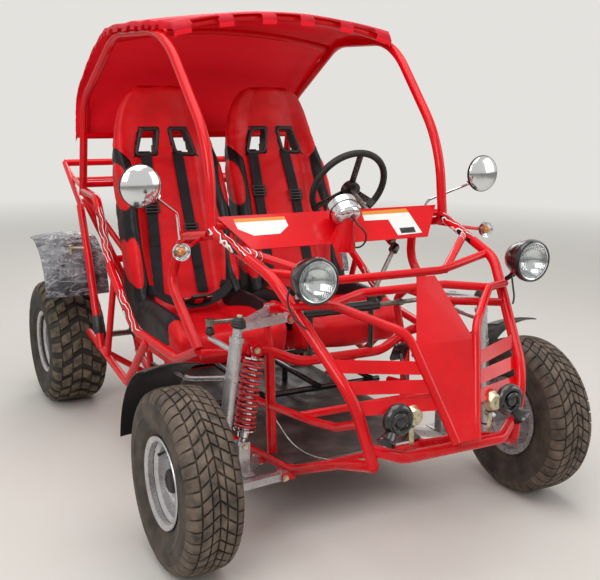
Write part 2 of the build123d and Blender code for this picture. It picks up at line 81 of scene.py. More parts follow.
# Camera, solved from the photograph
image_width = 600
focal_px = 909.7
camera_place = at(-1558, -2392, 1410)
camera_azimuth = math.radians(-28.27)
camera_elevation = math.radians(12.24)
camera_roll = math.radians(0.75)


def set_camera():
    """Put the camera where the photograph was taken."""
    back = Vector((math.sin(camera_azimuth) * math.cos(camera_elevation),
                   -math.cos(camera_azimuth) * math.cos(camera_elevation),
                   math.sin(camera_elevation)))
    right = Vector((math.cos(camera_azimuth), math.sin(camera_azimuth), 0))
    up = back.cross(right)
    rolled_right = right * math.cos(camera_roll) + up * math.sin(camera_roll)
    rolled_up = up * math.cos(camera_roll) - right * math.sin(camera_roll)
    lens = bpy.data.cameras.new("camera")
    lens.sensor_width = 36
    lens.lens = focal_px / image_width * lens.sensor_width
    camera = bpy.data.objects.new("camera", lens)
    turn = Matrix((rolled_right, rolled_up, back)).transposed()
    camera.matrix_world = Matrix.Translation(camera_place) @ turn.to_4x4()
    bpy.context.collection.objects.link(camera)
    bpy.context.scene.camera = camera


# Materials
def linear(text):
    """A linear colour from its sRGB hex value."""
    parts = [int(text[i:i + 2], 16) / 255 for i in (0, 2, 4)]
    return [p / 12.92 if p <= 0.04045 else ((p + 0.055) / 1.055) ** 2.4 for p in parts] + [1]


def add(tree, kind, settings=None, links=None):
    """Add a node, set its inputs and properties, and link its inputs."""
    item = tree.nodes.new(kind)
    for name, value in (settings or {}).items():
        if isinstance(name, int) or name in item.inputs:
            item.inputs[name].default_value = value
        else:
            setattr(item, name, value)
    for name, source in (links or {}).items():
        tree.links.new(source, item.inputs[name])
    return item


def start(name, colour, roughness, settings=None):
    """A new material with its shader set; returns the material, its tree and its shader."""
    material = bpy.data.materials.new(name)
    material.use_nodes = True
    tree = material.node_tree
    shader = tree.nodes["Principled BSDF"]
    shader.inputs["Base Color"].default_value = linear(colour)
    shader.inputs["Roughness"].default_value = roughness
    for key, value in (settings or {}).items():
        shader.inputs[key].default_value = value
    return material, tree, shader


def cells_per_metre(size_mm):
    """The scale of a pattern whose cells are this wide."""
    return 1000 / size_mm


def stripes_scale(size_mm):
    """The scale of a wave pattern whose bands repeat at this width, as the texture has a rate of its own."""
    own_rate = 20
    return math.tau * cells_per_metre(size_mm) / own_rate


def clouds(tree, size_mm, low, high, detail=4):
    """A soft pattern of patches of a size, ramped between two levels of the noise."""
    place = add(tree, "ShaderNodeTexCoord")
    cloud = add(tree, "ShaderNodeTexNoise", {"Scale": cells_per_metre(size_mm), "Detail": detail},
                {"Vector": place.outputs["Object"]})
    ramp = add(tree, "ShaderNodeMapRange", {"From Min": low, "From Max": high},
               {"Value": cloud.outputs["Fac"]})
    return ramp.outputs["Result"]


def mixed(tree, share, first, second):
    """A colour between two, each a hex value or a socket."""
    mix = add(tree, "ShaderNodeMix", {"data_type": "RGBA"}, {"Factor": share})
    for socket, colour in ((mix.inputs[6], first), (mix.inputs[7], second)):
        if isinstance(colour, str):
            socket.default_value = linear(colour)
        else:
            tree.links.new(colour, socket)
    return mix.outputs[2]


def product(tree, first, second, kind="MULTIPLY"):
    """Two values, each a number or a socket, put through one operation."""
    maths = add(tree, "ShaderNodeMath", {"operation": kind})
    for index, value in enumerate((first, second)):
        if isinstance(value, (int, float)):
            maths.inputs[index].default_value = value
        else:
            tree.links.new(value, maths.inputs[index])
    return maths.outputs[0]


def upward(tree, low, high):
    """How far a face looks up, from 0 to 1."""
    normal = add(tree, "ShaderNodeNewGeometry").outputs["Normal"]
    height = add(tree, "ShaderNodeSeparateXYZ", links={"Vector": normal}).outputs["Z"]
    return add(tree, "ShaderNodeMapRange", {"From Min": low, "From Max": high},
               {"Value": height}).outputs["Result"]


def near_ground(tree, full_height, clear_height):
    """1 at the ground, fading to 0 at a height."""
    place = add(tree, "ShaderNodeTexCoord").outputs["Object"]
    height = add(tree, "ShaderNodeSeparateXYZ", links={"Vector": place}).outputs["Z"]
    return add(tree, "ShaderNodeMapRange",
               {"From Min": full_height, "From Max": clear_height, "To Min": 1, "To Max": 0},
               {"Value": height}).outputs["Result"]


def bump(tree, shader, height, strength, depth_mm):
    """Let a height pattern of a real depth roughen the surface."""
    relief = add(tree, "ShaderNodeBump", {"Strength": strength, "Distance": depth_mm / 1000},
                 {"Height": height})
    tree.links.new(relief.outputs["Normal"], shader.inputs["Normal"])


def vary_roughness(tree, shader, size_mm, low, high):
    """Let the gloss change in patches, as handling and wiping leave it."""
    rough = add(tree, "ShaderNodeMapRange", {"To Min": low, "To Max": high},
                {"Value": clouds(tree, size_mm, 0.3, 0.7)})
    tree.links.new(rough.outputs["Result"], shader.inputs["Roughness"])


def inside_boxes(tree, place, boxes):
    """1 inside any of the boxes, each a low and a high corner that hold on both sides, and 0 outside."""
    axes = add(tree, "ShaderNodeSeparateXYZ", links={"Vector": place}).outputs
    values = (product(tree, axes["X"], 0, "ABSOLUTE"), axes["Y"], axes["Z"])
    region = None
    for low, high in boxes:
        inside = None
        for corner, sense in ((low, "GREATER_THAN"), (high, "LESS_THAN")):
            for value, bound in zip(values, corner):
                test = product(tree, value, bound, sense)
                inside = test if inside is None else product(tree, inside, test)
        region = inside if region is None else product(tree, region, inside, "MAXIMUM")
    return region


def red_enamel(name="red_enamel", bands=()):
    """Sprayed and baked red enamel on steel: deep colour under a clear gloss, dust low down.

    Bands are boxes, each low and high corner, with a black and white film in flame-like stripes.
    """
    material, tree, shader = start(name, "dc0716", 0.2,
                                   {"Specular IOR Level": 0.22, "Coat Weight": 0.16, "Coat Roughness": 0.03})
    base = mixed(tree, clouds(tree, 120, 0.35, 0.65), "df0716", "cf0613")
    haze = product(tree, near_ground(tree, 0.15, 0.7), clouds(tree, 35, 0.45, 0.75))
    colour = mixed(tree, product(tree, haze, 0.12), base, "a8917f")
    if bands:
        place = add(tree, "ShaderNodeTexCoord").outputs["Object"]
        region = inside_boxes(tree, place, bands)
        flames = add(tree, "ShaderNodeTexWave",
                     {"bands_direction": "X", "Scale": stripes_scale(26), "Distortion": 5, "Detail": 2,
                      "Detail Scale": 0.9}, {"Vector": place}).outputs["Fac"]
        lines = []
        for level, half in ((0.55, 0.15), (0.25, 0.14)):
            away = product(tree, product(tree, flames, -level, "ADD"), 0, "ABSOLUTE")
            lines.append(product(tree, product(tree, away, half, "LESS_THAN"), region))
        white, black = lines
        colour = mixed(tree, black, mixed(tree, white, colour, "e9e7e4"), "141417")
    tree.links.new(colour, shader.inputs["Base Color"])
    vary_roughness(tree, shader, 60, 0.14, 0.24)
    return material


def silver_enamel():
    """Silver enamel on steel: a fine metallic grain, a little road dust in the corners."""
    material, tree, shader = start("silver_enamel", "bfbec0", 0.3, {"Metallic": 0.7})
    base = mixed(tree, clouds(tree, 40, 0.4, 0.7), "c6c5c8", "b7b5b7")
    dusty = mixed(tree, product(tree, near_ground(tree, 0.05, 0.5), 0.15), base, "93836f")
    tree.links.new(dusty, shader.inputs["Base Color"])
    vary_roughness(tree, shader, 25, 0.24, 0.34)
    return material


def chrome_plate():
    """Chrome plate: mirror bright with faint wiping marks."""
    material, tree, shader = start("chrome_plate", "dadcde", 0.06, {"Metallic": 1})
    vary_roughness(tree, shader, 30, 0.08, 0.17)
    return material


def zinc_plate():
    """Zinc-plated steel: pale and faintly yellow, satin, patchy."""
    material, tree, shader = start("zinc_plate", "cdc3a4", 0.33, {"Metallic": 0.9})
    tree.links.new(mixed(tree, clouds(tree, 12, 0.35, 0.65), "d8d0b6", "b3a888"),
                   shader.inputs["Base Color"])
    vary_roughness(tree, shader, 8, 0.25, 0.45)
    return material


def steel():
    """Bare turned steel: grey, satin, with fine tool marks and an oily tint."""
    material, tree, shader = start("turned_steel", "8b8a88", 0.32, {"Metallic": 1})
    tree.links.new(mixed(tree, clouds(tree, 15, 0.35, 0.7), "96958f", "6c665e"),
                   shader.inputs["Base Color"])
    bump(tree, shader, clouds(tree, 0.8, 0.3, 0.7, 1), 0.1, 0.05)
    return material


def cast_aluminium():
    """Sand-cast aluminium: matt grey with a pebbled skin, dirt in its hollows."""
    material, tree, shader = start("cast_aluminium", "8f9091", 0.5, {"Metallic": 0.85})
    tree.links.new(mixed(tree, clouds(tree, 20, 0.4, 0.7), "9a9b9c", "5f5a54"),
                   shader.inputs["Base Color"])
    bump(tree, shader, clouds(tree, 1.6, 0.3, 0.7, 2), 0.25, 0.3)
    return material


def black_plastic():
    """Moulded black polypropylene: fine leather grain, soft sheen, dust on top."""
    material, tree, shader = start("black_plastic", "131314", 0.45)
    base = mixed(tree, product(tree, upward(tree, 0.2, 1), 0.25), "151517", "6a6158")
    tree.links.new(base, shader.inputs["Base Color"])
    vary_roughness(tree, shader, 40, 0.36, 0.58)
    bump(tree, shader, clouds(tree, 1.2, 0.35, 0.65, 2), 0.25, 0.15)
    return material


def gloss_black():
    """Black stove enamel: smooth and shiny, with a little dust on top."""
    material, tree, shader = start("gloss_black", "0c0c0d", 0.2, {"Coat Weight": 0.5, "Coat Roughness": 0.08})
    base = mixed(tree, product(tree, upward(tree, 0.4, 1), 0.12), "0d0d0f", "5d564e")
    tree.links.new(base, shader.inputs["Base Color"])
    vary_roughness(tree, shader, 30, 0.15, 0.32)
    return material


def black_rubber():
    """Moulded rubber: matt black, faintly grained."""
    material, tree, shader = start("black_rubber", "161616", 0.6)
    tree.links.new(mixed(tree, clouds(tree, 18, 0.4, 0.7), "151515", "2c2925"),
                   shader.inputs["Base Color"])
    bump(tree, shader, clouds(tree, 1, 0.35, 0.65, 2), 0.2, 0.1)
    return material


def floor_sheet():
    """Black-painted floor sheet, scuffed and dusty where feet rest."""
    material, tree, shader = start("painted_floor_sheet", "1c191a", 0.45)
    dusty = product(tree, clouds(tree, 90, 0.4, 0.75), 0.5)
    tree.links.new(mixed(tree, dusty, "1c191a", "6b5f57"), shader.inputs["Base Color"])
    vary_roughness(tree, shader, 50, 0.3, 0.6)
    return material


def tyre_rubber(name, bare, dusty, share, film_share):
    """Tyre rubber with dried road dust: the lift attribute is 0 in the grooves and 1 on the blocks."""
    material, tree, shader = start(name, bare, 0.75)
    lift = add(tree, "ShaderNodeAttribute", {"attribute_name": "lift"}).outputs["Fac"]
    patches = clouds(tree, 30, 0.3, 0.7)
    worn = product(tree, product(tree, lift, patches), share)
    film = product(tree, clouds(tree, 70, 0.3, 0.75), film_share)
    tree.links.new(mixed(tree, product(tree, worn, film, "ADD"), bare, dusty), shader.inputs["Base Color"])
    bump(tree, shader, clouds(tree, 1.5, 0.3, 0.7, 3), 0.35, 0.25)
    return material


def wrapped_plastic():
    """Black moulded plastic still in its thin clear packing film: creases in the bump, with pale grey painted
    along them and in broad patches as painted highlights on the film.
    """
    material, tree, shader = start("film_wrapped_plastic", "38383c", 0.35,
                                   {"Coat Weight": 0.6, "Coat Roughness": 0.12})
    place = add(tree, "ShaderNodeTexCoord").outputs["Object"]
    drawn = add(tree, "ShaderNodeVectorMath", {"operation": "MULTIPLY", 1: (0.4, 1, 1)}, {0: place})
    bent = add(tree, "ShaderNodeTexNoise", {"Scale": cells_per_metre(30), "Detail": 4, "Distortion": 0.8},
               {"Vector": drawn.outputs["Vector"]}).outputs["Fac"]
    away = product(tree, product(tree, bent, -0.5, "ADD"), 0, "ABSOLUTE")
    cells = add(tree, "ShaderNodeMapRange", {"From Max": 0.045, "To Min": 1, "To Max": 0},
                {"Value": away}).outputs["Result"]
    # Painted highlight: pale grey along the film's creases and in broad patches stands for light caught by
    # the film
    share = product(tree, product(tree, cells, 0.42), product(tree, clouds(tree, 80, 0.35, 0.7), 0.3), "ADD")
    tree.links.new(mixed(tree, share, "2c2e34", "c3c6cc"), shader.inputs["Base Color"])
    vary_roughness(tree, shader, 20, 0.25, 0.5)
    relief = add(tree, "ShaderNodeBump", {"Strength": 0.5, "Distance": 0.002}, {"Height": cells})
    tree.links.new(relief.outputs["Normal"], shader.inputs["Normal"])
    tree.links.new(relief.outputs["Normal"], shader.inputs["Coat Normal"])
    return material


def seat_cover():
    """Red and black vinyl sewn together: the trim attribute is above 0 on the black panels."""
    red, shade, black = "e4141e", "cc0d17", "141316"
    material, tree, shader = start("seat_vinyl", red, 0.4, {"Specular IOR Level": 0.25})
    trim = add(tree, "ShaderNodeAttribute", {"attribute_name": "trim"}).outputs["Fac"]
    edge = add(tree, "ShaderNodeMapRange", {"From Min": -0.0005, "From Max": 0.0005}, {"Value": trim})
    reds = mixed(tree, clouds(tree, 90, 0.35, 0.65), red, shade)
    panels = mixed(tree, edge.outputs["Result"], reds, black)
    distance = product(tree, trim, 0, "ABSOLUTE")
    seam = add(tree, "ShaderNodeMapRange",
               {"From Min": 0.0006, "From Max": 0.0022, "To Min": 0.7, "To Max": 0}, {"Value": distance})
    tree.links.new(mixed(tree, seam.outputs["Result"], panels, "2a0508"), shader.inputs["Base Color"])
    vary_roughness(tree, shader, 50, 0.34, 0.5)
    place = add(tree, "ShaderNodeTexCoord").outputs["Object"]
    grain = add(tree, "ShaderNodeTexVoronoi", {"Scale": cells_per_metre(2)}, {"Vector": place})
    bump(tree, shader, grain.outputs["Distance"], 0.12, 0.2)
    return material


def woven(name, colour, shade, thread_mm, roughness, lit=None):
    """Woven cloth: crossed threads on the piece's UV map, which is in metres.

    Lit is a brighter colour painted on its underside: painted light, standing for the light that comes
    through the cloth.
    """
    material, tree, shader = start(name, colour, roughness, {"Specular IOR Level": 0.2})
    place = add(tree, "ShaderNodeTexCoord").outputs["UV"]
    threads = []
    for direction in ("X", "Y"):
        wave = add(tree, "ShaderNodeTexWave",
                   {"bands_direction": direction, "Scale": stripes_scale(thread_mm)}, {"Vector": place})
        threads.append(wave.outputs["Fac"])
    cloth = product(tree, *threads, "MAXIMUM")
    tone = mixed(tree, clouds(tree, 60, 0.35, 0.65), colour, shade)
    if lit:
        # Painted light: faces that look down take the brighter lit colour, for light coming through the cloth
        tone = mixed(tree, upward(tree, -0.15, 0.05), lit, tone)
    tree.links.new(tone, shader.inputs["Base Color"])
    bump(tree, shader, cloth, 0.3, 0.3)
    return material


def clear_glass():
    """Clear moulded glass."""
    return start("lamp_glass", "f4f6f7", 0.02, {"Transmission Weight": 1, "IOR": 1.5})[0]


def fluted_glass():
    """Pressed lamp glass: upright flutes about 7 mm wide that break up the reflector."""
    material, tree, shader = start("fluted_glass", "f6f8f8", 0.03, {"Transmission Weight": 1, "IOR": 1.45})
    place = add(tree, "ShaderNodeTexCoord").outputs["Object"]
    wave = add(tree, "ShaderNodeTexWave", {"bands_direction": "X", "Scale": stripes_scale(7)},
               {"Vector": place})
    bump(tree, shader, wave.outputs["Fac"], 0.5, 1)
    return material


def plain(name, colour, roughness, settings=None):
    """A coated surface with a slight change of gloss."""
    material, tree, shader = start(name, colour, roughness, settings)
    vary_roughness(tree, shader, 25, roughness * 0.8, min(1, roughness * 1.25))
    return material


# Where the printed film lies on the tubes: the low and high corner of each stretch, in metres
entry_film = (((0.5, at(0, 1060, 0).y, 0.72), (0.6, at(0, 1265, 0).y, 0.945)),
              ((0.5, at(0, 705, 0).y, 0.5), (0.6, at(0, 955, 0).y, 0.665)))
hood_film = (((0.38, at(0, 40, 0).y, 0.9), (0.5, at(0, 262, 0).y, 1.02)),)
red_paint = red_enamel()
striped_rails = red_enamel("red_enamel_with_film", entry_film)
striped_hood = red_enamel("red_enamel_with_short_film", hood_film)
wrapped = wrapped_plastic()
red_button = plain("red_button", "b01818", 0.35)
silver_paint = silver_enamel()
chrome = chrome_plate()
zinc = zinc_plate()
bare_steel = steel()
alloy = cast_aluminium()
plastic = black_plastic()
black_paint = gloss_black()
rubber = black_rubber()
floor_black = floor_sheet()
front_rubber = tyre_rubber("front_tyre_rubber", "1f1b19", "7b6a5c", 0.62, 0.5)
rear_rubber = tyre_rubber("rear_tyre_rubber", "1b1918", "82735f", 0.7, 0.2)
seat_vinyl = seat_cover()
webbing = woven("belt_webbing", "17161a", "232126", 1.5, 0.55)
# The last colour, ff1a30, is painted light on the canopy's underside, for light coming through the cloth
canopy_cloth = woven("canopy_cloth", "c81628", "b51022", 2.5, 0.5, "ff1a30")
lamp_glass = clear_glass()
lamp_lens = fluted_glass()
spring_paint = plain("spring_enamel", "c8141a", 0.3, {"Coat Weight": 0.5})
white_plate = plain("white_film", "e8e8e4", 0.35)
orange_film = plain("orange_film", "d98a2b", 0.35)
black_film = plain("black_film", "15151a", 0.3)
amber = plain("amber_acrylic", "ff9410", 0.15, {"Coat Weight": 0.5})
mirror_glass = plain("silvered_glass", "c9cdd0", 0.03, {"Metallic": 1})


# New pieces
def finish(bm, name, materials, body="frame", sharp=35, slot=None):
    """Turn a bmesh into a smooth-shaded piece that rides on a body."""
    bmesh.ops.remove_doubles(bm, verts=bm.verts, dist=1e-6)
    bmesh.ops.recalc_face_normals(bm, faces=bm.faces)
    mesh = bpy.data.meshes.new(name)
    bm.to_mesh(mesh)
    bm.free()
    for material in materials:
        mesh.materials.append(material)
    mesh.shade_smooth()
    mesh.set_sharp_from_angle(angle=math.radians(sharp))
    piece = bpy.data.objects.new(name, mesh)
    bpy.context.collection.objects.link(piece)
    if slot:
        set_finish(piece, slot)
    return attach(piece, body)


def mirrored(piece, name, body="frame"):
    """The same piece on the other side."""
    mesh = piece.data.copy()
    mesh.name = name
    mesh.transform(Matrix.Scale(-1, 4, (1, 0, 0)))
    mesh.flip_normals()
    other = bpy.data.objects.new(name, mesh)
    bpy.context.collection.objects.link(other)
    if "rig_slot" in piece:
        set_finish(other, piece["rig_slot"])
    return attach(other, body)


def axis_frame(place, direction):
    """A matrix whose Z axis is a direction."""
    turn = Vector(direction).normalized().to_track_quat("Z", "Y").to_matrix().to_4x4()
    return Matrix.Translation(place) @ turn


def add_turned(bm, outline, place, direction, steps=48, material=0):
    """Add a turned shape from pairs of distance along its axis and radius, both in millimetres."""
    verts = [bm.verts.new((radius / 1000, 0, distance / 1000)) for distance, radius in outline]
    edges = [bm.edges.new(pair) for pair in zip(verts, verts[1:])]
    if outline[0][1] > 0 or outline[-1][1] > 0:
        edges.append(bm.edges.new((verts[-1], verts[0])))
    bmesh.ops.spin(bm, geom=verts + edges, cent=(0, 0, 0), axis=(0, 0, 1), dvec=(0, 0, 0),
                   angle=math.tau, steps=steps, use_merge=True, use_duplicate=False)
    ring = {v for v in verts if v.is_valid}
    grown = set(ring)
    while ring:
        ring = {w for v in ring for e in v.link_edges for w in e.verts} - grown
        grown |= ring
    bmesh.ops.remove_doubles(bm, verts=list(grown), dist=1e-7)
    grown = [v for v in grown if v.is_valid]
    for face in {f for v in grown for f in v.link_faces}:
        face.material_index = material
    bmesh.ops.transform(bm, matrix=axis_frame(place, direction), verts=grown)


def add_box(bm, matrix, size, bevel=0, material=0):
    """Add a box of a size in millimetres, with bevelled edges."""
    scale = Matrix.Diagonal((size[0] / 1000, size[1] / 1000, size[2] / 1000, 1))
    verts = bmesh.ops.create_cube(bm, size=1, matrix=matrix @ scale)["verts"]
    faces = {f for v in verts for f in v.link_faces}
    for face in faces:
        face.material_index = material
    if bevel:
        edges = list({e for v in verts for e in v.link_edges})
        bmesh.ops.bevel(bm, geom=edges, offset=bevel / 1000, affect="EDGES", segments=2, profile=0.5,
                        material=-1)


def add_bolt(bm, place, direction, size_mm, material=0):
    """Add a hexagon head on its washer."""
    frame_at = axis_frame(place, direction)
    for sides_of, radius, height, lift in ((24, size_mm * 1.15, size_mm * 0.18, 0),
                                           (6, size_mm * 0.95, size_mm * 0.65, size_mm * 0.18)):
        centre = frame_at @ Matrix.Translation((0, 0, (lift + height / 2) / 1000))
        verts = bmesh.ops.create_cone(bm, cap_ends=True, segments=sides_of, radius1=radius / 1000,
                                      radius2=radius / 1000, depth=height / 1000, matrix=centre)["verts"]
        for face in {f for v in verts for f in v.link_faces}:
            face.material_index = material


def add_tube(bm, points, radius_mm, sides_of=12, smooth=True, material=0, closed=False):
    """Add a round bar or hose along points, as a swept curve."""
    curve = bpy.data.curves.new("path", "CURVE")
    curve.dimensions = "3D"
    curve.bevel_depth = radius_mm / 1000
    curve.bevel_resolution = max(0, sides_of // 4 - 1)
    curve.use_fill_caps = True
    spline = curve.splines.new("NURBS" if smooth else "POLY")
    spline.points.add(len(points) - 1)
    for point, place in zip(spline.points, points):
        point.co = (*place, 1)
    spline.use_cyclic_u = closed
    if smooth:
        spline.order_u = 3
        spline.use_endpoint_u = not closed
    holder = bpy.data.objects.new("path", curve)
    mesh = bpy.data.meshes.new_from_object(holder)
    for polygon in mesh.polygons:
        polygon.material_index = material
    bm.from_mesh(mesh)
    bpy.data.objects.remove(holder)
    bpy.data.meshes.remove(mesh)


def add_turned_pair(bm, outline, place, direction, steps=32):
    """Add a turned shape on both sides of the vehicle."""
    for sign in (1, -1):
        flip = Vector((sign, 1, 1))
        add_turned(bm, outline, place * flip, Vector(direction) * flip, steps)


def add_tube_pair(bm, points, radius_mm, smooth=False):
    """Add a round bar on both sides of the vehicle."""
    for sign in (1, -1):
        add_tube(bm, [p * Vector((sign, 1, 1)) for p in points], radius_mm, 16, smooth)


def add_box_pair(bm, place, size, bevel=1):
    """Add a box on both sides of the vehicle."""
    for sign in (1, -1):
        add_box(bm, Matrix.Translation(place * Vector((sign, 1, 1))), size, bevel)


# Finishes of the CAD nodes
def dress(node, material):
    """Give a CAD node its material."""
    mesh = nodes[node].data
    mesh.materials.clear()
    mesh.materials.append(material)


def dress_nodes():
    """Give every CAD node its finish."""
    for node in nodes:
        dress(node, red_paint)
    for side, _ in sides:
        for arm in ("upper_arm", "lower_arm", "knuckle"):
            dress(f"{side}_{arm}", silver_paint)
        dress(f"{side}_side_bars", striped_rails)
    dress("hood_tubes", striped_hood)
    for node, material in (("tie_rods", bare_steel), ("rack_housing", black_paint),
                           ("floor_pan", floor_black), ("pedals", black_paint), ("seat_rails", black_paint)):
        dress(node, material)


# Tyres: a spun carcass with tread blocks laid flat and then wrapped round it
def radius_at(profile, x_mm):
    """A profile's radius at a distance from the tyre's middle, in millimetres."""
    for (x0, r0), (x1, r1) in zip(profile, profile[1:]):
        if x_mm <= x1:
            return r0 + (r1 - r0) * (x_mm - x0) / (x1 - x0)
    return profile[-1][1]


# How far the walls of the tread blocks reach into the carcass, in millimetres
block_root = 3


def add_blocks(bm, rows, pitch_count):
    """Add the tread's blocks flat: X across, Y round the tyre, Z lift, in millimetres."""
    pitch = math.tau * tyre_radius * 1000 / pitch_count
    for x0, x1, slant, share, phase, height, cells in rows:
        for sign in (1, -1):
            for step in range(pitch_count):
                verts = bmesh.ops.create_grid(bm, x_segments=cells, y_segments=1, size=0.5)["verts"]
                for vert in verts:
                    across = (vert.co.x + 0.5) * (x1 - x0)
                    along = (vert.co.y + 0.5) * share * pitch
                    vert.co = (sign * (x0 + across), (step + phase) * pitch + slant * across + along, height)
                top = set(verts)
                faces = list({f for v in verts for f in v.link_faces})
                rim = [e for e in {e for f in faces for e in f.edges} if len(e.link_faces) == 1]
                grown = bmesh.ops.extrude_face_region(bm, geom=faces)["geom"]
                for vert in (g for g in grown if isinstance(g, bmesh.types.BMVert)):
                    vert.co.z = -block_root
                edges = [e for e in {e for v in top for e in v.link_edges}
                         if e.verts[0] in top and e.verts[1] in top and e in rim]
                bmesh.ops.bevel(bm, geom=edges, offset=1.3, affect="EDGES", segments=1, profile=0.5,
                                material=-1)


def make_tyre(name, node, hub, carcass, tread, rows, pitch_count, material, body):
    """A tyre with its tread, in place of the CAD one."""
    bm = bmesh.new()
    lift = bm.verts.layers.float.new("lift")
    add_blocks(bm, rows, pitch_count)
    height = max(row[5] for row in rows)
    for vert in bm.verts:
        vert[lift] = max(0, vert.co.z / height)
        angle = vert.co.y / (tyre_radius * 1000)
        radius = radius_at(tread, abs(vert.co.x)) + vert.co.z
        vert.co = hub + Vector((vert.co.x, radius * math.cos(angle), radius * math.sin(angle))) / 1000
    outline = list(carcass) + [(-x, r) for x, r in reversed(carcass)]
    add_turned(bm, outline, hub, (1, 0, 0), steps=112)
    piece = finish(bm, name, [material], body, sharp=40, slot="tyre")
    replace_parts(piece, node)
    return piece


# Profiles: distance from the tyre's middle and radius, in millimetres
front_tread = ((0, 271.0), (30, 270.6), (55, 268.5), (70, 263), (79, 252), (85, 238), (90, 220))
front_carcass = (
    (54, 122), (58, 131), (66, 141), (69, 143), (70.5, 147), (70, 149), (77, 160), (79, 162), (80, 165),
    (79.5, 167), (86, 186), (88.6, 198), (90, 199.5), (90, 203), (89, 204.5), (89.5, 214), (88, 234),
    (82, 250), (72, 261.5), (56, 268.3), (30, 270.6), (0.01, 271))
front_rows = (
    # inner edge, outer edge, slant, share of the pitch, phase, height, cells across
    (2.5, 19, 0.85, 0.80, 0.00, 8.5, 1), (24, 49, 0.75, 0.80, 0.45, 8.5, 2),
    (54, 86, 0.18, 0.84, 0.05, 7.5, 5))
front_pitches = 44
rear_tread = ((0, 266.5), (60, 265.5), (88, 262), (104, 254), (114, 242), (121, 226), (127, 200))
rear_carcass = (
    (92, 122), (97, 132), (104, 142), (107, 144), (108.5, 148), (108, 150), (116, 162), (118, 164.5),
    (118.8, 168), (118.2, 170), (125, 188), (127, 206), (123, 226), (114, 243), (103, 255), (86, 262.5),
    (50, 266), (0.01, 266.6))
rear_rows = (
    (3, 40, 0.55, 0.60, 0.00, 13, 2), (46, 84, 0.55, 0.58, 0.55, 13, 2), (89, 121, 0.12, 0.56, 0.20, 12, 5))
rear_pitches = 24


def make_tyres():
    """The four tyres, the right ones mirrored."""
    left_front = make_tyre("front_tyre_left", "left_front_tyre", front_hub, front_carcass, front_tread,
                           front_rows, front_pitches, front_rubber, "left_front_wheel")
    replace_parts(mirrored(left_front, "front_tyre_right", "right_front_wheel"), "right_front_tyre")
    left_rear = make_tyre("rear_tyre_left", "left_rear_tyre", rear_hub, rear_carcass, rear_tread,
                          rear_rows, rear_pitches, rear_rubber, "rear_wheels")
    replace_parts(mirrored(left_rear, "rear_tyre_right", "rear_wheels"), "right_rear_tyre")


# Seats: padded shells with raised bolsters and two belt slots, in millimetres
seat_x = 250
seat_profile = (
    # front station and height, half width, bolster rise, back station and height, all in millimetres
    (566, 437, 200, 0, 600, 437), (544, 462, 212, 4, 604, 437), (541, 530, 220, 12, 612, 437),
    (572, 555, 224, 28, 640, 437), (640, 557, 228, 62, 690, 437), (760, 546, 231, 80, 780, 437),
    (880, 536, 232, 88, 885, 437), (960, 540, 232, 84, 985, 437), (1008, 585, 232, 72, 1100, 470),
    (1044, 680, 232, 68, 1154, 640), (1098, 815, 232, 70, 1196, 790), (1156, 950, 232, 74, 1238, 930),
    (1210, 1080, 230, 58, 1278, 1070), (1240, 1155, 220, 32, 1302, 1150), (1262, 1240, 205, 12, 1322, 1236),
    (1274, 1310, 187, 4, 1334, 1308), (1279, 1370, 162, 0, 1337, 1368), (1282, 1406, 136, 0, 1333, 1404),
    (1288, 1424, 110, 0, 1324, 1422), (1300, 1432, 86, 0, 1314, 1431))
edge_round = 26
seat_columns = 92
seat_rows_count = 220
slot_low = 1145
slot_high = 1262
slot_corners = ((-106, 1260), (-16, 1264), (-36, 1148), (-138, 1142))


def seat_row(v):
    """The profile's values at a share v of its front length, its normal and the way to its nearer end."""
    lengths = [0]
    for a, b in zip(seat_profile, seat_profile[1:]):
        lengths.append(lengths[-1] + math.hypot(b[0] - a[0], b[1] - a[1]))
    target = v * lengths[-1]
    i = max(k for k in range(len(lengths) - 1) if lengths[k] <= target + 1e-9)
    share = (i + (target - lengths[i]) / (lengths[i + 1] - lengths[i])) / (len(seat_profile) - 1)
    row = smooth_rows(seat_profile, share)
    before = smooth_rows(seat_profile, max(0, share - 0.004))
    after = smooth_rows(seat_profile, min(1, share + 0.004))
    run = Vector((after[0] - before[0], after[1] - before[1])).normalized()
    return row, (-run.y, run.x), min(target, lengths[-1] - target)


def in_slot(x, z, grow=0):
    """Whether a point of the seat back, from the seat's middle, lies in a belt slot."""
    if not slot_low - grow < z < slot_high + grow:
        return False
    share = (z - slot_low) / (slot_high - slot_low)
    return 37 - 21 * share - grow < abs(x) < 137 - 31 * share + grow


def smooth_step(low, high, value):
    """0 below low, 1 above high, and smooth between."""
    share = min(1, max(0, (value - low) / (high - low)))
    return share * share * (3 - 2 * share)


def trim_distance(x, y, z):
    """Distance into the black panels, in metres, at a point from the seat's middle in mm."""
    side = abs(x)
    if in_slot(x, z, 4) and y > 1215:
        return 0.01
    if z < 650 and y < 1010:
        return min(side - 150 - 10 * math.sin((y - 600) / 90), y - 596 - 0.3 * (side - 150), z - 505) / 1000
    waist = 168 + 9 * math.sin((z - 700) / 80)
    front_y = seat_surface(z)
    set_back = max(0, y - front_y) / 100
    panel = min(side - waist, 1140 - z + 0.9 * (side - 168))
    upper = 1 - math.hypot((side - 228) / 34, (z - 1035) / 92, set_back)
    lower = 1 - math.hypot((side - 214) / 30, (z - 745) / 100, set_back)
    return min(panel, -32 * upper, -30 * lower) / 1000


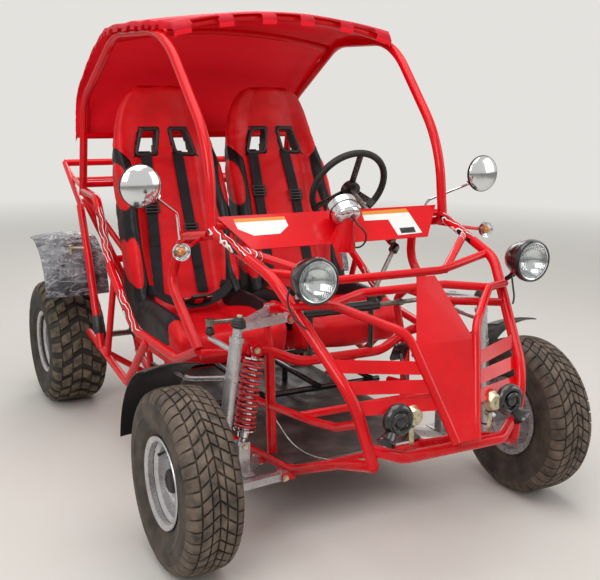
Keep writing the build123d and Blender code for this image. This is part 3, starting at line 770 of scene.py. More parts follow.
def make_seats():
    """Both seats: sewn vinyl over foam, black bolsters with red insets."""
    bm = bmesh.new()
    trim = bm.verts.layers.float.new("trim")
    across, along = (bm.verts.layers.float.new(name) for name in ("across", "along"))
    for vert in bmesh.ops.create_grid(bm, x_segments=seat_columns, y_segments=seat_rows_count,
                                      size=0.5)["verts"]:
        w = vert.co.x * 2
        vert[across] = w * (1.35 - 0.35 * w * w)
        vert[along] = vert.co.y + 0.5
        (y, z, half, rise, _, _), normal, end = seat_row(vert[along])
        u = abs(vert[across])
        reach = rise * smooth_step(0.5, 0.86, u) * (1 - 0.22 * smooth_step(0.86, 1, u))
        reach += 8 * (1 - (u / 0.55) ** 2) if u < 0.55 else 0
        inset = max(0, 1 - min(half * (1 - u), end) / edge_round)
        reach -= 22 * (1 - math.sqrt(1 - inset * inset))
        vert.co = at(seat_x + vert[across] * half, y + normal[0] * reach, z + normal[1] * reach)
    holes = [f for f in bm.faces if in_slot(f.calc_center_median().x * 1000 - seat_x,
                                            f.calc_center_median().z * 1000, -6)]
    bmesh.ops.delete(bm, geom=holes, context="FACES")
    grown = bmesh.ops.extrude_face_region(bm, geom=bm.faces[:], use_keep_orig=True)["geom"]
    backs = {g for g in grown if isinstance(g, bmesh.types.BMVert)}
    for vert in backs:
        (_, _, half, rise, y, z), _, end = seat_row(vert[along])
        u = abs(vert[across])
        inset = max(0, 1 - min(half * (1 - u), end) / edge_round)
        pull = 18 * (1 - math.sqrt(1 - inset * inset)) if z > 470 else 0
        vert.co = at(seat_x + vert[across] * half * 0.97, y - pull - 10 * u * u * (rise / 70), z)
    walls = [e for e in bm.edges if (e.verts[0] in backs) != (e.verts[1] in backs)]
    bmesh.ops.subdivide_edges(bm, edges=walls, cuts=4, use_grid_fill=True)
    bmesh.ops.recalc_face_normals(bm, faces=bm.faces)
    bm.normal_update()
    for vert in bm.verts:
        x = vert.co.x * 1000 - seat_x
        y = (vert.co.y - front_hub.y) * 1000
        z = vert.co.z * 1000
        vert[trim] = trim_distance(x, y, z)
        if z < 445:
            continue
        crease = noise.noise(Vector((x / 70, y / 70, z / 26))) * 1.8
        groove = 3 * math.exp(-(vert[trim] / 0.0045) ** 2)
        vert.co += vert.normal * (crease - groove) / 1000
    left = finish(bm, "seat_padding_left", [seat_vinyl], sharp=80, slot="seat_vinyl")
    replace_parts(left, "left_seat")
    right = mirrored(left, "seat_padding_right")
    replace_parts(right, "right_seat")


def seat_surface(z):
    """Station of the seat back's middle at a height, in millimetres."""
    for a, b in zip(seat_profile[8:], seat_profile[9:]):
        if a[1] <= z <= b[1]:
            return a[0] + (b[0] - a[0]) * (z - a[1]) / (b[1] - a[1])
    return seat_profile[8][0] if z < 600 else seat_profile[-1][0]


def make_slot_trims():
    """Black moulded rings round the belt slots, each a thick rounded bar bent to the slot's outline."""
    bm = bmesh.new()
    bar = 8
    for sign in (1, -1):
        middle_x = sum(p[0] for p in slot_corners) / 4
        middle_z = sum(p[1] for p in slot_corners) / 4
        loop = []
        for x, z in slot_corners:
            x -= bar * math.copysign(1, x - middle_x)
            z -= bar * math.copysign(1, z - middle_z)
            loop.append(Vector((sign * x, z)))
        points = []
        for before, here, after in zip(loop[-1:] + loop[:-1], loop, loop[1:] + loop[:1]):
            for other, share in ((before, 0.3), (before, 0.12), (after, 0.12), (after, 0.3)):
                x, z = here.lerp(other, share)
                points.append(at(seat_x + x, seat_surface(z) - 7, z))
        add_tube(bm, points, bar, 16, closed=True)
    left = finish(bm, "slot_trims_left", [plastic], sharp=50, slot="black_parts")
    mirrored(left, "slot_trims_right")


def add_ribbon(bm, points, width_mm, thickness_mm, across=(1, 0, 0)):
    """Add a flat strap along points; across is the direction of its width."""
    side = Vector(across).normalized()
    uv = bm.loops.layers.uv.verify()
    grid = bmesh.ops.create_grid(bm, x_segments=len(points) - 1, y_segments=4, size=0.5)["verts"]
    total = 0
    runs = [0]
    for a, b in zip(points, points[1:]):
        total += (b - a).length
        runs.append(total)
    where = {}
    for vert in grid:
        i = round((vert.co.x + 0.5) * (len(points) - 1))
        where[vert] = (runs[i], vert.co.y * width_mm / 1000)
        vert.co = points[i] + side * vert.co.y * width_mm / 1000
    faces = list({f for v in grid for f in v.link_faces})
    for face in faces:
        for loop in face.loops:
            loop[uv].uv = where[loop.vert]
    bmesh.ops.solidify(bm, geom=faces, thickness=thickness_mm / 1000)


belt_lines = (
    # x at the slot, at the slide and at the lap belt, and the slide's height, in millimetres
    (-338, -347, -372, 948), (-200, -192, -182, 857), (146, 144, 128, 996), (302, 318, 326, 973))
belt_slot_z = 1150
belt_low = 610
slide_pitch = 12
back_lean = math.atan2(180, 460)


def belt_points(line, z_top, z_low, lift, count=26):
    """Points down the seat back, in metres."""
    x_top, x_slide, x_low, z_slide = line
    points = []
    for i in range(count):
        z = z_top + (z_low - z_top) * i / (count - 1)
        if z > z_slide:
            x = x_top + (x_slide - x_top) * (belt_slot_z - z) / (belt_slot_z - z_slide)
        else:
            x = x_slide + (x_low - x_slide) * (z_slide - z) / (z_slide - belt_low)
        points.append(at(x, seat_surface(z) - lift - 10 - 1.2 * math.sin(z / 40), z))
    return points


def make_belts():
    """Shoulder belts with their slides, lap belts and buckles."""
    bm = bmesh.new()
    for line in belt_lines:
        z_slide = line[3]
        points = belt_points(line, 1158, belt_low, 3)
        top = points[0]
        points = [top + Vector((0, 0.075, -0.012)), top + Vector((0, 0.05, 0.004)),
                  top + Vector((0, 0.02, 0.008)), top + Vector((0, 0.006, 0.004))] + points
        add_ribbon(bm, points, 46, 2.4)
        add_ribbon(bm, belt_points(line, 1152, z_slide, 6, 10), 44, 2)
        place = belt_points(line, z_slide, z_slide - 1, 12, 2)[0]
        lean = Matrix.Translation(place) @ Matrix.Rotation(-back_lean, 4, "X")
        for drop in (-1.6, -0.5, 0.6, 1.7):
            add_box(bm, lean @ Matrix.Translation((0, 0, -drop * slide_pitch / 1000)), (60, 6, 7), 2, 1)
        for outward in (-28, 28):
            add_box(bm, lean @ Matrix.Translation((outward / 1000, 0.001, 0)), (6, 6, 50), 2, 1)
        add_ribbon(bm, belt_points(line, z_slide - 30, z_slide - 150, 7, 8), 40, 2)
    for sign in (1, -1):
        lap = [at(sign * (seat_x + x), y, z) for x, y, z in
               ((-184, 985, 640), (-168, 950, 648), (-130, 936, 618), (-80, 930, 596), (-40, 926, 586),
                (20, 926, 584), (80, 930, 596), (130, 936, 618), (168, 950, 648), (184, 985, 640))]
        add_ribbon(bm, lap, 46, 2.4, across=(0, 0.75, 0.66))
        buckle = Matrix.Translation(at(sign * (seat_x - 8), 918, 592)) @ Matrix.Rotation(0.75, 4, "X")
        add_box(bm, buckle, (66, 15, 82), 6, 1)
        add_box(bm, buckle @ Matrix.Translation((0, -0.008, 0.012)), (34, 5, 30), 2, 2)
        for tongue in (sign, -sign):
            add_box(bm, buckle @ Matrix.Translation((tongue * 0.046, 0.002, 0)), (30, 4, 46), 1.5, 3)
    finish(bm, "harness", [webbing, plastic, red_button, bare_steel], sharp=40, slot="black_parts")


# Canopy: one sheet over the roof bars, with six tabs round the front bar, in millimetres
canopy_rows = (
    # station, height, half width, crown, in millimetres
    (616, 1588, 426, 54), (612, 1606, 430, 54), (622, 1626, 436, 52), (650, 1636, 450, 52),
    (700, 1639, 480, 52), (770, 1641, 502, 53), (900, 1642, 513, 54), (1090, 1642, 516, 55),
    (1170, 1630, 517, 53), (1240, 1602, 518, 48), (1330, 1560, 519, 36), (1420, 1505, 520, 27),
    (1520, 1434, 522, 19), (1565, 1385, 522, 13), (1584, 1330, 522, 8), (1594, 1265, 522, 6),
    (1600, 1200, 522, 5))
tab_centres = (-400, -242, -78, 78, 242, 400)
tab_half = 27
canopy_pulls = 15
canopy_columns = 132
canopy_lines = 120


def smooth_rows(rows, v):
    """A point of a smooth path through the rows, by the share v of their count."""
    place = v * (len(rows) - 1)
    i = min(int(place), len(rows) - 2)
    t = place - i
    p = [rows[max(0, min(len(rows) - 1, i + k))] for k in (-1, 0, 1, 2)]
    return [0.5 * ((2 * b) + (c - a) * t + (2 * a - 5 * b + 4 * c - d) * t * t
                   + (3 * b - a - 3 * c + d) * t ** 3) for a, b, c, d in zip(*p)]


def make_canopy():
    """The red cloth top, with a hem of six tabs round the front bar and scalloped side edges."""
    bm = bmesh.new()
    uv = bm.loops.layers.uv.verify()
    where = {}
    for vert in bmesh.ops.create_grid(bm, x_segments=canopy_columns, y_segments=canopy_lines,
                                      size=0.5)["verts"]:
        u, v = vert.co.x * 2, vert.co.y + 0.5
        where[vert] = (u * 0.52, v * 1.3)
        y, z, half, crown = smooth_rows(canopy_rows, v)
        spread = min(1, abs(u) / 0.94)
        lift = crown * (1 - spread ** 2)
        flat = 1 - spread ** 2
        sag = 7 * flat * math.sin(math.pi * min(1, max(0, (y - 660) / 440)))
        sag += 6 * flat * math.sin(math.pi * min(1, max(0, (y - 1110) / 380)))
        wrap = max(0, (abs(u) - 0.94) / 0.06)
        pleat = 3.2 * noise.noise(Vector((u * 3.2, v * 10, 3))) * (0.25 + spread)
        pull = 2.4 * math.sin(v * canopy_pulls * math.tau) * spread ** 3 * smooth_step(0.1, 0.25, v)
        drop = wrap * (10 + 18 * smooth_step(0.05, 0.22, v))
        vert.co = at(math.copysign(half * spread + 7 * math.sin(wrap * 1.9), u), y,
                     z + 5 + lift - sag - drop + pleat + pull)
    gone = []
    for face in bm.faces:
        for loop in face.loops:
            loop[uv].uv = where[loop.vert]
        v = sum(where[vert][1] for vert in face.verts) / len(face.verts) / 1.3
        x = face.calc_center_median().x * 1000
        edge = abs(sum(where[vert][0] for vert in face.verts) / len(face.verts)) / 0.52
        window = v < 0.14 and abs(x) < 398 and not any(abs(x - c) < tab_half for c in tab_centres)
        notch = edge > 0.965 and v > 0.2 and math.sin(v * canopy_pulls * 2 * math.tau) < -0.3
        if window or notch:
            gone.append(face)
    bmesh.ops.delete(bm, geom=gone, context="FACES")
    bmesh.ops.solidify(bm, geom=bm.faces[:], thickness=0.0016)
    cloth = finish(bm, "canopy_sheet", [canopy_cloth], sharp=60, slot="canopy_cloth")
    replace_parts(cloth, "canopy")


# Lamps
lamp_place = at(380, -300, 912)


def make_headlights():
    """Bowl headlights: black shell and bezel, a thin bright ring, silvered reflector, fluted glass."""
    bm = bmesh.new()
    rearward = (0, 1, 0)
    add_turned(bm, ((-6, 58), (-7, 61), (-5, 64.5), (2, 66.5), (16, 66.5), (20, 64), (22, 61), (34, 60),
                    (54, 55), (80, 43), (98, 25), (106, 0), (103, 0), (95, 22), (78, 39), (50, 52),
                    (12, 58)), lamp_place, rearward, 64, 0)
    add_turned(bm, ((-4, 54.5), (-5.5, 57), (-5, 59), (0, 59), (0, 56)), lamp_place, rearward, 64, 1)
    add_turned(bm, ((2, 57), (16, 49), (30, 37), (39, 21), (42, 0), (45, 0), (42, 22), (32, 39), (18, 51),
                    (4, 58)), lamp_place, rearward, 64, 1)
    add_turned(bm, ((12, 0), (13, 7), (20, 10), (40, 10), (40, 0)), lamp_place, rearward, 24, 1)
    add_tube(bm, [at(381, -222, 876), at(381, -214, 858), at(381, -196, 842), at(381, -184, 836)], 8, 12,
             material=0)
    add_bolt(bm, at(390, -206, 852), (1, 0, 0), 7, 1)
    left = finish(bm, "headlight_left", [black_paint, chrome], slot="black_shell")
    mirrored(left, "headlight_right")
    glass = bmesh.new()
    add_turned(glass, ((-2, 56), (-8, 45), (-12, 27), (-13.5, 0), (-11, 0), (-9.5, 26), (-5.5, 44),
                       (0.5, 56)), lamp_place, rearward, 64)
    left_glass = finish(glass, "headlight_glass_left", [lamp_lens], slot="black_shell")
    mirrored(left_glass, "headlight_glass_right")
    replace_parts(left, "headlights")


signal_place = at(587, 160, 933)


def make_signals():
    """Round turn signals: an amber lens over a bulb in a bright bowl with a dark base."""
    bm = bmesh.new()
    rearward = (0, 1, 0)
    add_turned(bm, ((20, 0), (20, 26), (24, 27), (30, 24), (38, 18), (44, 0)), signal_place, rearward, 40, 3)
    add_turned(bm, ((19, 0), (18, 10), (15, 19), (11, 25), (10, 27.5), (20, 28), (20, 0)), signal_place,
               rearward, 40, 0)
    add_turned(bm, ((3, 0), (4.5, 7), (9, 12), (14, 13), (18.5, 12), (18.5, 0)), signal_place, rearward,
               32, 1)
    add_tube(bm, [at(458, 330, 946), at(500, 284, 940), at(560, 212, 934), at(587, 190, 933)], 6, 12,
             smooth=False, material=2)
    left = finish(bm, "turn_signal_left", [chrome, amber, red_paint, black_paint], slot="amber_lens")
    mirrored(left, "turn_signal_right")
    glass = bmesh.new()
    add_turned(glass, ((19, 25.5), (10, 24), (3, 17), (-1, 0), (0.8, 0), (4.5, 15.5), (10.5, 22), (19, 23.5)),
               signal_place, rearward, 40)
    cover = finish(glass, "signal_lens_left", [lamp_glass], slot="amber_lens")
    mirrored(cover, "signal_lens_right")
    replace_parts(left, "turn_signals")


# Hubs, plates, dial, horns and drive
def make_hubs():
    """Black hub caps, zinc wheel bolts and rubber valves."""
    for kind, hub, face, cap_start, cap_r, body in (
            ("front", front_hub, 21, 34, 36, "{}_front_wheel"),
            ("rear", rear_hub, 35, 52, 40, "rear_wheels")):
        bm = bmesh.new()
        for turn in range(4):
            angle = math.radians(45 + 90 * turn)
            away = about_x(angle) * 0.055
            add_bolt(bm, hub + away + Vector((face / 1000, 0, 0)), (1, 0, 0), 8, 1)
        add_turned(bm, ((cap_start, 0), (cap_start, cap_r), (cap_start + 9, cap_r),
                        (cap_start + 14, cap_r - 3), (cap_start + 17, cap_r - 9),
                        (cap_start + 18, cap_r - 16), (cap_start + 15, cap_r - 18), (cap_start + 15, 0)),
                   hub, (1, 0, 0), 40, 0)
        valve = hub + Vector((0.058, -0.024, 0.109))
        add_turned(bm, ((-6, 0), (-6, 7), (2, 6), (6, 4), (22, 4), (24, 5), (31, 5), (32, 4), (32, 0)), valve,
                   (1, 0.1, -0.35), 16, 0)
        left = finish(bm, f"{kind}_hub_left", [rubber, zinc], body.format("left"), slot="black_parts")
        mirrored(left, f"{kind}_hub_right", body.format("right"))


# The dash's lower and upper edge, as station and height in millimetres
dash_low = (192, 920)
dash_high = (277, 1018)
plate_corners = (
    # x and the share of the way up the dash, from the lower edge
    ((-375, 0.91), (-191, 0.9), (-188, 0.62), (-227, 0.4), (-321, 0.39), (-370, 0.61)),
    ((109, 0.91), (297, 0.93), (322, 0.13), (219, 0.1), (204, 0.61), (107, 0.62)))
band_share = 0.8


def make_plates():
    """Two blank film plates on the dash, white with an orange band, and a dark block on the left one."""
    bm = bmesh.new()
    run = Vector((0, dash_high[0] - dash_low[0], dash_high[1] - dash_low[1]))
    out = Vector((0, -run.z, run.y)).normalized()

    def place(x, share, lift):
        return at(x, *dash_low) + (run * share + out * lift) / 1000

    for corners in plate_corners:
        face = bm.faces.new([bm.verts.new(place(x, share, 1.9)) for x, share in corners])
        bmesh.ops.bisect_plane(bm, geom=[face] + list(face.edges) + list(face.verts),
                               plane_co=place(0, band_share, 0), plane_no=run.normalized())
    left = Matrix.Translation(place(266, 0.24, 2.3))
    tilt = math.atan2(run.z, run.y)
    add_box(bm, left @ Matrix.Rotation(tilt, 4, "X"), (62, 22, 0.7), 0.1, 2)
    for face in bm.faces:
        share = (face.calc_center_median() - place(0, 0, 0)).dot(run) * 1000 / run.length_squared
        if face.material_index == 0 and share > band_share:
            face.material_index = 1
    flat = [f for f in bm.faces if f.material_index < 2]
    bmesh.ops.solidify(bm, geom=flat, thickness=0.0004)
    finish(bm, "dash_plates", [white_plate, orange_film, black_film], slot="black_parts")


dial_place = at(0, 168, 1000)
dial_axis = about_x(math.radians(38))
mirror_place = at(667, 314, 1122)


def make_dial():
    """The speedometer's bezel, dial with plain ticks, needle and glass."""
    place, axis = dial_place, dial_axis
    bm = bmesh.new()
    add_turned(bm, ((47, 50.5), (47, 53), (66, 53), (71, 52), (72.5, 50), (72, 47), (66, 46), (58, 46.5)),
               place, axis, 64, 0)
    add_turned(bm, ((15, 44), (15, 49.5), (21, 49.5), (21, 44)), place, axis, 64, 0)
    add_turned(bm, ((66.4, 0), (66.4, 46.4), (68, 46.4), (68, 0)), place, axis, 48, 1)
    face = axis_frame(place + axis * 0.0685, axis)
    for tick in range(13):
        turn = Matrix.Rotation(math.radians(-120 + 20 * tick), 4, "Z")
        size = (1.6, 8, 0.6) if tick % 2 == 0 else (1, 5, 0.6)
        add_box(bm, face @ turn @ Matrix.Translation((0, 0.038, 0)), size, 0, 2)
    needle = face @ Matrix.Rotation(math.radians(118), 4, "Z")
    add_box(bm, needle @ Matrix.Translation((0, 0.014, 0.0008)), (1.6, 34, 0.8), 0.2, 3)
    add_turned(bm, ((68, 0), (68, 4), (70, 4), (70, 0)), place, axis, 20, 1)
    finish(bm, "dial", [chrome, black_film, white_plate, amber], slot="chrome_plate")
    glass = bmesh.new()
    add_turned(glass, ((70.6, 0), (70.6, 46.5), (72, 46.5), (72, 0)), place, axis, 48)
    finish(glass, "dial_glass", [lamp_glass], slot="chrome_plate")


def make_mirror_backs():
    """A rubber rim, a silvered glass and a clamp bolt for each round mirror."""
    bm = bmesh.new()
    add_turned(bm, ((-8, 66.5), (-4, 68), (2, 67.6), (3.4, 65), (2, 62.5), (0.2, 62.5)), mirror_place,
               (0, 1, 0), 64, 0)
    add_turned(bm, ((0.2, 0), (0.4, 62.8), (1.4, 62.8), (1.6, 0)), mirror_place, (0, 1, 0), 64, 1)
    add_bolt(bm, at(606, 322, 1088), (-0.3, -0.9, 0.3), 6, 2)
    left = finish(bm, "mirror_glass_left", [rubber, mirror_glass, chrome], slot="chrome_plate")
    mirrored(left, "mirror_glass_right")


horn_place = at(182, -428, 531)


def make_horns():
    """Electric horns: a black snail-shaped trumpet outside, a zinc-plated driver and its bracket inside."""
    bm = bmesh.new()
    forward = (0, -1, 0)
    snail = horn_place + Vector((0.014, 0.002, 0.004))
    add_turned(bm, ((0, 0), (0, 43), (5, 47), (14, 48), (22, 45), (27, 38), (27, 31), (23, 27), (23, 20),
                    (28, 16), (30, 9), (30, 0)), snail, forward, 48, 0)
    turns = []
    for step in range(22):
        angle = math.radians(200 + step * 17)
        away = (36 - step * 1.1) / 1000
        turns.append(snail + Vector((away * math.cos(angle), -0.026, away * math.sin(angle))))
    add_tube(bm, turns, 6.5, 12, material=0)
    add_turned(bm, ((0, 0), (0, 15), (14, 18), (28, 23), (36, 28), (38, 30), (38, 27), (28, 20), (16, 12),
                    (16, 0)), snail + Vector((0.02, -0.012, -0.03)), (0.62, -0.3, -0.72), 40, 0)
    driver = horn_place + Vector((-0.04, 0.012, 0.004))
    add_turned(bm, ((-4, 0), (-4, 24), (4, 28), (8, 31), (12, 31), (16, 27), (27, 25), (31, 21), (32, 0)),
               driver, forward, 40, 1)
    add_bolt(bm, driver + Vector((0, -0.032, 0)), forward, 6, 1)
    add_box(bm, Matrix.Translation(driver + Vector((0.002, -0.004, -0.028))), (24, 20, 16), 3, 0)
    for shift in (-5, 5):
        add_box(bm, Matrix.Translation(driver + Vector((shift / 1000, -0.006, -0.041))), (6.3, 0.8, 12), 0, 1)
    add_box(bm, Matrix.Translation(driver + Vector((-0.002, -0.008, -0.055))) @ Matrix.Rotation(0.08, 4, "Y"),
            (16, 2.5, 72), 0.6, 1)
    add_tube(bm, [driver + Vector((0.006, -0.006, -0.05)), driver + Vector((0.02, 0.0, -0.075)),
                  driver + Vector((0.005, 0.02, -0.085)), driver + Vector((-0.03, 0.04, -0.07)),
                  driver + Vector((-0.04, 0.046, -0.04))], 2.5, 8, material=0)
    left = finish(bm, "horn_left", [black_paint, zinc], slot="black_shell")
    mirrored(left, "horn_right")
    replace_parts(left, "horns")


def make_boots():
    """Rubber boots over the kingpin tops, with the pins' nuts and collars, and over the tie-rod balls."""
    for side, sign in sides:
        bm = bmesh.new()
        low, top = at(sign * 530, 45, 200), at(sign * 465, 35, 700)
        rise = (top - low).normalized()
        add_turned(bm, ((14, 0), (14, 17), (17, 22), (23, 24), (28, 21), (31, 22.5), (35, 19), (38, 20),
                        (43, 15), (47, 12), (49, 0)), top, rise, 32, 0)
        add_turned(bm, ((48, 0), (48, 9), (54, 9), (56, 6), (56, 0)), top, rise, 20, 1)
        for height in (-30, -150):
            add_turned(bm, ((height, 20.1), (height, 23), (height + 14, 23), (height + 14, 20.1)), top, rise,
                       32, 2)
        finish(bm, f"kingpin_boot_{side}", [rubber, zinc, silver_paint], f"{side}_steer", slot="black_parts")
    bm = bmesh.new()
    add_turned_pair(bm, ((12, 8), (12, 13), (18, 16), (27, 14), (34, 10), (36, 8)), at(480, 215, 640),
                    (0, 0, 1), 28)
    finish(bm, "tie_rod_boots", [rubber], "steering_rack", slot="black_parts")


bolt_places = (
    # place, direction and size; the same on both sides
    (at(346, 145, 600), (0, -1, 0), 9), (at(346, 185, 600), (0, 1, 0), 8),
    (at(402, 120, 291), (0, -1, 0), 9), (at(402, 160, 291), (0, 1, 0), 8),
    (at(290, 47, 190), (0, -1, 0), 9), (at(300, 254, 190), (0, 1, 0), 9),
    (at(300, -1, 731), (0, -1, 0), 8), (at(299, 175, 731), (0, 1, 0), 8),
    (rear(269.5, -140, 616), (1, 0, 0), 9), (rear(230.5, -140, 616), (-1, 0, 0), 9),
    (rear(234.5, -73, 330), (1, 0, 0), 9), (rear(195.5, -73, 330), (-1, 0, 0), 9))


def make_bolts():
    """Zinc-plated bolts at the suspension eyes and pivots."""
    bm = bmesh.new()
    for place, direction, size in bolt_places:
        for sign in (1, -1):
            flip = Vector((sign, 1, 1))
            add_bolt(bm, place * flip, Vector(direction) * flip, size)
    finish(bm, "pivot_bolts", [zinc], sharp=25, slot="rim_silver")


# Engine and drive: heights, distances from the middle plane and chain pitch in millimetres, then places
engine_low = 246
engine_shaft_z = engine_low + 62
head_top = engine_low + 281
intake_z = head_top - 38
sprocket_line = 113.5
disc_line = -137.5
chain_pitch = 13.2
filter_end = rear(-55, -373, intake_z)
muffler_place = rear(120, -8, 560)


def loop_points():
    """The chain's pin places in the YZ plane, evenly spaced round its two sprockets."""
    big, small = rear_hub.yz * 1000, rear(0, -243, 0).yz * 1000
    small.y = engine_shaft_z
    big_r, small_r = 84, 30
    span = small - big
    turn = math.acos((big_r - small_r) / span.length)
    heading = math.atan2(span.y, span.x)
    path = []
    steps = 60
    for i in range(steps + 1):
        angle = heading + turn + (math.tau - 2 * turn) * i / steps
        path.append(big + Vector((math.cos(angle), math.sin(angle))) * big_r)
    for i in range(steps + 1):
        angle = heading - turn + 2 * turn * i / steps
        path.append(small + Vector((math.cos(angle), math.sin(angle))) * small_r)
    path.append(path[0])
    total = sum((b - a).length for a, b in zip(path, path[1:]))
    count = 2 * round(total / chain_pitch / 2)
    gap = total / count
    pins, walked, due = [], 0, 0
    for a, b in zip(path, path[1:]):
        run = (b - a).length
        while due < walked + run and len(pins) < count:
            pins.append(a.lerp(b, (due - walked) / run if run else 0))
            due += gap
        walked += run
    return pins


def make_chain():
    """A roller chain: rollers on pins between pairs of inner and outer plates."""
    bm = bmesh.new()
    pins = loop_points()
    for i, (here, after) in enumerate(zip(pins, pins[1:] + pins[:1])):
        place = Vector((sprocket_line, *here)) / 1000
        add_turned(bm, ((-7, 0), (-7, 2), (7, 2), (7, 0)), place, (1, 0, 0), 8, 0)
        add_turned(bm, ((-2.6, 1.9), (-2.6, 4.2), (2.6, 4.2), (2.6, 1.9)), place, (1, 0, 0), 10, 0)
        middle_of = Vector((sprocket_line, *(here + after) / 2)) / 1000
        angle = math.atan2(after.y - here.y, after.x - here.x)
        for shift in ((3.3, -3.3) if i % 2 else (5.2, -5.2)):
            plate = Matrix.Translation(middle_of + Vector((shift / 1000, 0, 0)))
            add_box(bm, plate @ Matrix.Rotation(angle, 4, "X"), (1.4, chain_pitch + 7.5, 8.4), 1.6, 0)
    finish(bm, "roller_chain", [bare_steel], "frame", slot="cast_alloy")


def make_pedal_pads():
    """Ribbed rubber on the two pedals."""
    bm = bmesh.new()
    tilt = math.atan2(0.5, 1)
    for x in (160, 250):
        face = Matrix.Translation(at(x, 75, 550)) @ Matrix.Rotation(tilt, 4, "X")
        add_box(bm, face @ Matrix.Translation((0, 0.009, 0)), (56, 5, 62), 2, 0)
        for rib in range(-3, 4):
            add_box(bm, face @ Matrix.Translation((0, 0.013, rib * 0.009)), (50, 4, 4), 1, 0)
    finish(bm, "pedal_pads", [rubber], slot="black_parts")


def make_engine_trim():
    """The engine's spark plug and lead, carburettor, recoil cover rings, bolts and filter cover."""
    bm = bmesh.new()
    head = rear(-35, -283, head_top)
    add_turned(bm, ((-2, 0), (-2, 9), (8, 9), (8, 6), (14, 6), (14, 0)), head + Vector((0.03, 0.02, 0.02)),
               (0.3, 0.2, 1), 16, 3)
    plug = head + Vector((0.034, 0.023, 0.034))
    add_tube(bm, [plug, plug + Vector((0.006, 0.004, 0.03)), plug + Vector((0.03, 0.05, 0.04)),
                  plug + Vector((0.05, 0.1, 0.0)), plug + Vector((0.02, 0.12, -0.08))], 4, 10, material=1)
    add_turned(bm, ((0, 9), (4, 13), (24, 13), (26, 8)), plug, (0.2, 0.15, 1), 20, 1)
    for cover_x, cover_y, cover_z, radius, sense in ((-176, -283, engine_shaft_z + 6, 52, -1),
                                                     (96, -293, engine_shaft_z + 22, 36, 1)):
        middle_of = rear(cover_x, cover_y, cover_z)
        add_turned(bm, ((0, radius - 12), (5, radius - 14), (5, radius - 20), (0, radius - 22)), middle_of,
                   (sense, 0, 0), 40, 0)
        add_turned(bm, ((0, 0), (0, 12), (6, 12), (8, 8), (8, 0)), middle_of, (sense, 0, 0), 24, 3)
        for turn in range(6):
            angle = math.radians(60 * turn)
            away = about_x(angle) * (radius - 5) / 1000
            add_bolt(bm, middle_of + away, (sense, 0, 0), 5, 3)
    for x in (-34, 34):
        for y in (-36, 36):
            add_bolt(bm, head + Vector((x / 1000, y / 1000, 0.001)), (0, 0, 1), 6, 3)
    add_turned(bm, ((22, 43), (24, 45), (116, 45), (119, 42.5), (116, 42.2), (26, 42.2)), filter_end,
               (-1, 0, 0), 48, 2)
    for band in (34, 108):
        add_turned(bm, ((band, 45), (band, 46.4), (band + 7, 46.4), (band + 7, 45)), filter_end,
                   (-1, 0, 0), 48, 3)
    add_box(bm, Matrix.Translation(rear(-55, -352, intake_z)), (46, 30, 52), 5, 0)
    add_turned(bm, ((0, 0), (0, 16), (18, 16), (20, 12), (20, 0)), rear(-55, -352, head_top - 64),
               (0, 0, -1), 24, 0)
    finish(bm, "engine_trim", [alloy, rubber, plastic, bare_steel], slot="cast_alloy")


def make_muffler_shield():
    """A pressed heat shield with slots over the muffler, and its bands."""
    bm = bmesh.new()
    for band in (30, 200):
        add_turned(bm, ((band, 48), (band, 50), (band + 14, 50), (band + 14, 48)), muffler_place,
                   (0, 1, 0), 48, 0)
    add_turned(bm, ((10, 44), (7, 49), (12, 50), (14, 48)), muffler_place, (0, 1, 0), 48, 1)
    add_turned(bm, ((222, 48), (224, 50), (229, 48), (226, 44)), muffler_place, (0, 1, 0), 48, 1)
    for slot_at in range(7):
        for turn in (-40, 0, 40):
            angle = math.radians(90 + turn)
            away = Vector((math.cos(angle), 0, math.sin(angle))) * 0.0492
            place = muffler_place + Vector((0, (52 + slot_at * 21) / 1000, 0)) + away
            tilt = Matrix.Translation(place) @ Matrix.Rotation(math.radians(-turn), 4, "Y")
            add_box(bm, tilt, (20, 8, 2.5), 1, 0)
    finish(bm, "muffler_shield", [chrome, black_paint], slot="black_shell")


# Forms that stand for the plainer solids
def add_coil_over(bm, top, low, eye_axis, turns):
    """Add a damper between its two eyes, with a spring wound between its perches."""
    frame_at = axis_frame(top, low - top)
    length = (low - top).length * 1000
    add_turned(bm, ((8, 0), (8, 9), (25, 9), (25, 31), (26, 34), (31, 34.5), (32, 32), (34, 16),
                    (length / 2, 16), (length / 2, 21), (length - 54, 21), (length - 54, 34),
                    (length - 53, 36.5), (length - 49, 36.5), (length - 48, 34), (length - 44, 21),
                    (length - 28, 19), (length - 22, 11), (length - 8, 11), (length - 8, 0)),
               top, low - top, 40, 0)
    first, last, per_turn, wire, coil_r = 36.5, length - 58.5, 28, 4.8, 31.5
    rise = (last - first - 4.4 * wire) / (turns - 2)
    points = []
    for i in range(turns * per_turn + 1):
        turn = i / per_turn
        middle_turns = min(max(turn - 1, 0), turns - 2)
        ends = min(turn, 1) + max(0, turn - (turns - 1))
        height = first + ends * 2.2 * wire + middle_turns * rise
        angle = math.tau * turn
        away = Vector((coil_r * math.cos(angle), coil_r * math.sin(angle), height)) / 1000
        points.append(frame_at @ away)
    add_tube(bm, points, wire, 12, smooth=False, material=1)
    for eye in (top, low):
        add_turned(bm, ((-14, 6), (-14, 12), (-11, 14), (11, 14), (14, 12), (14, 6)), eye, eye_axis, 28, 0)
        add_turned(bm, ((-15, 0), (-15, 7), (15, 7), (15, 0)), eye, eye_axis, 20, 2)


spring_ends = {"front": (at(346, 165, 600), at(402, 140, 291)),
               "rear": (rear(250, -140, 616), rear(215, -73, 330))}


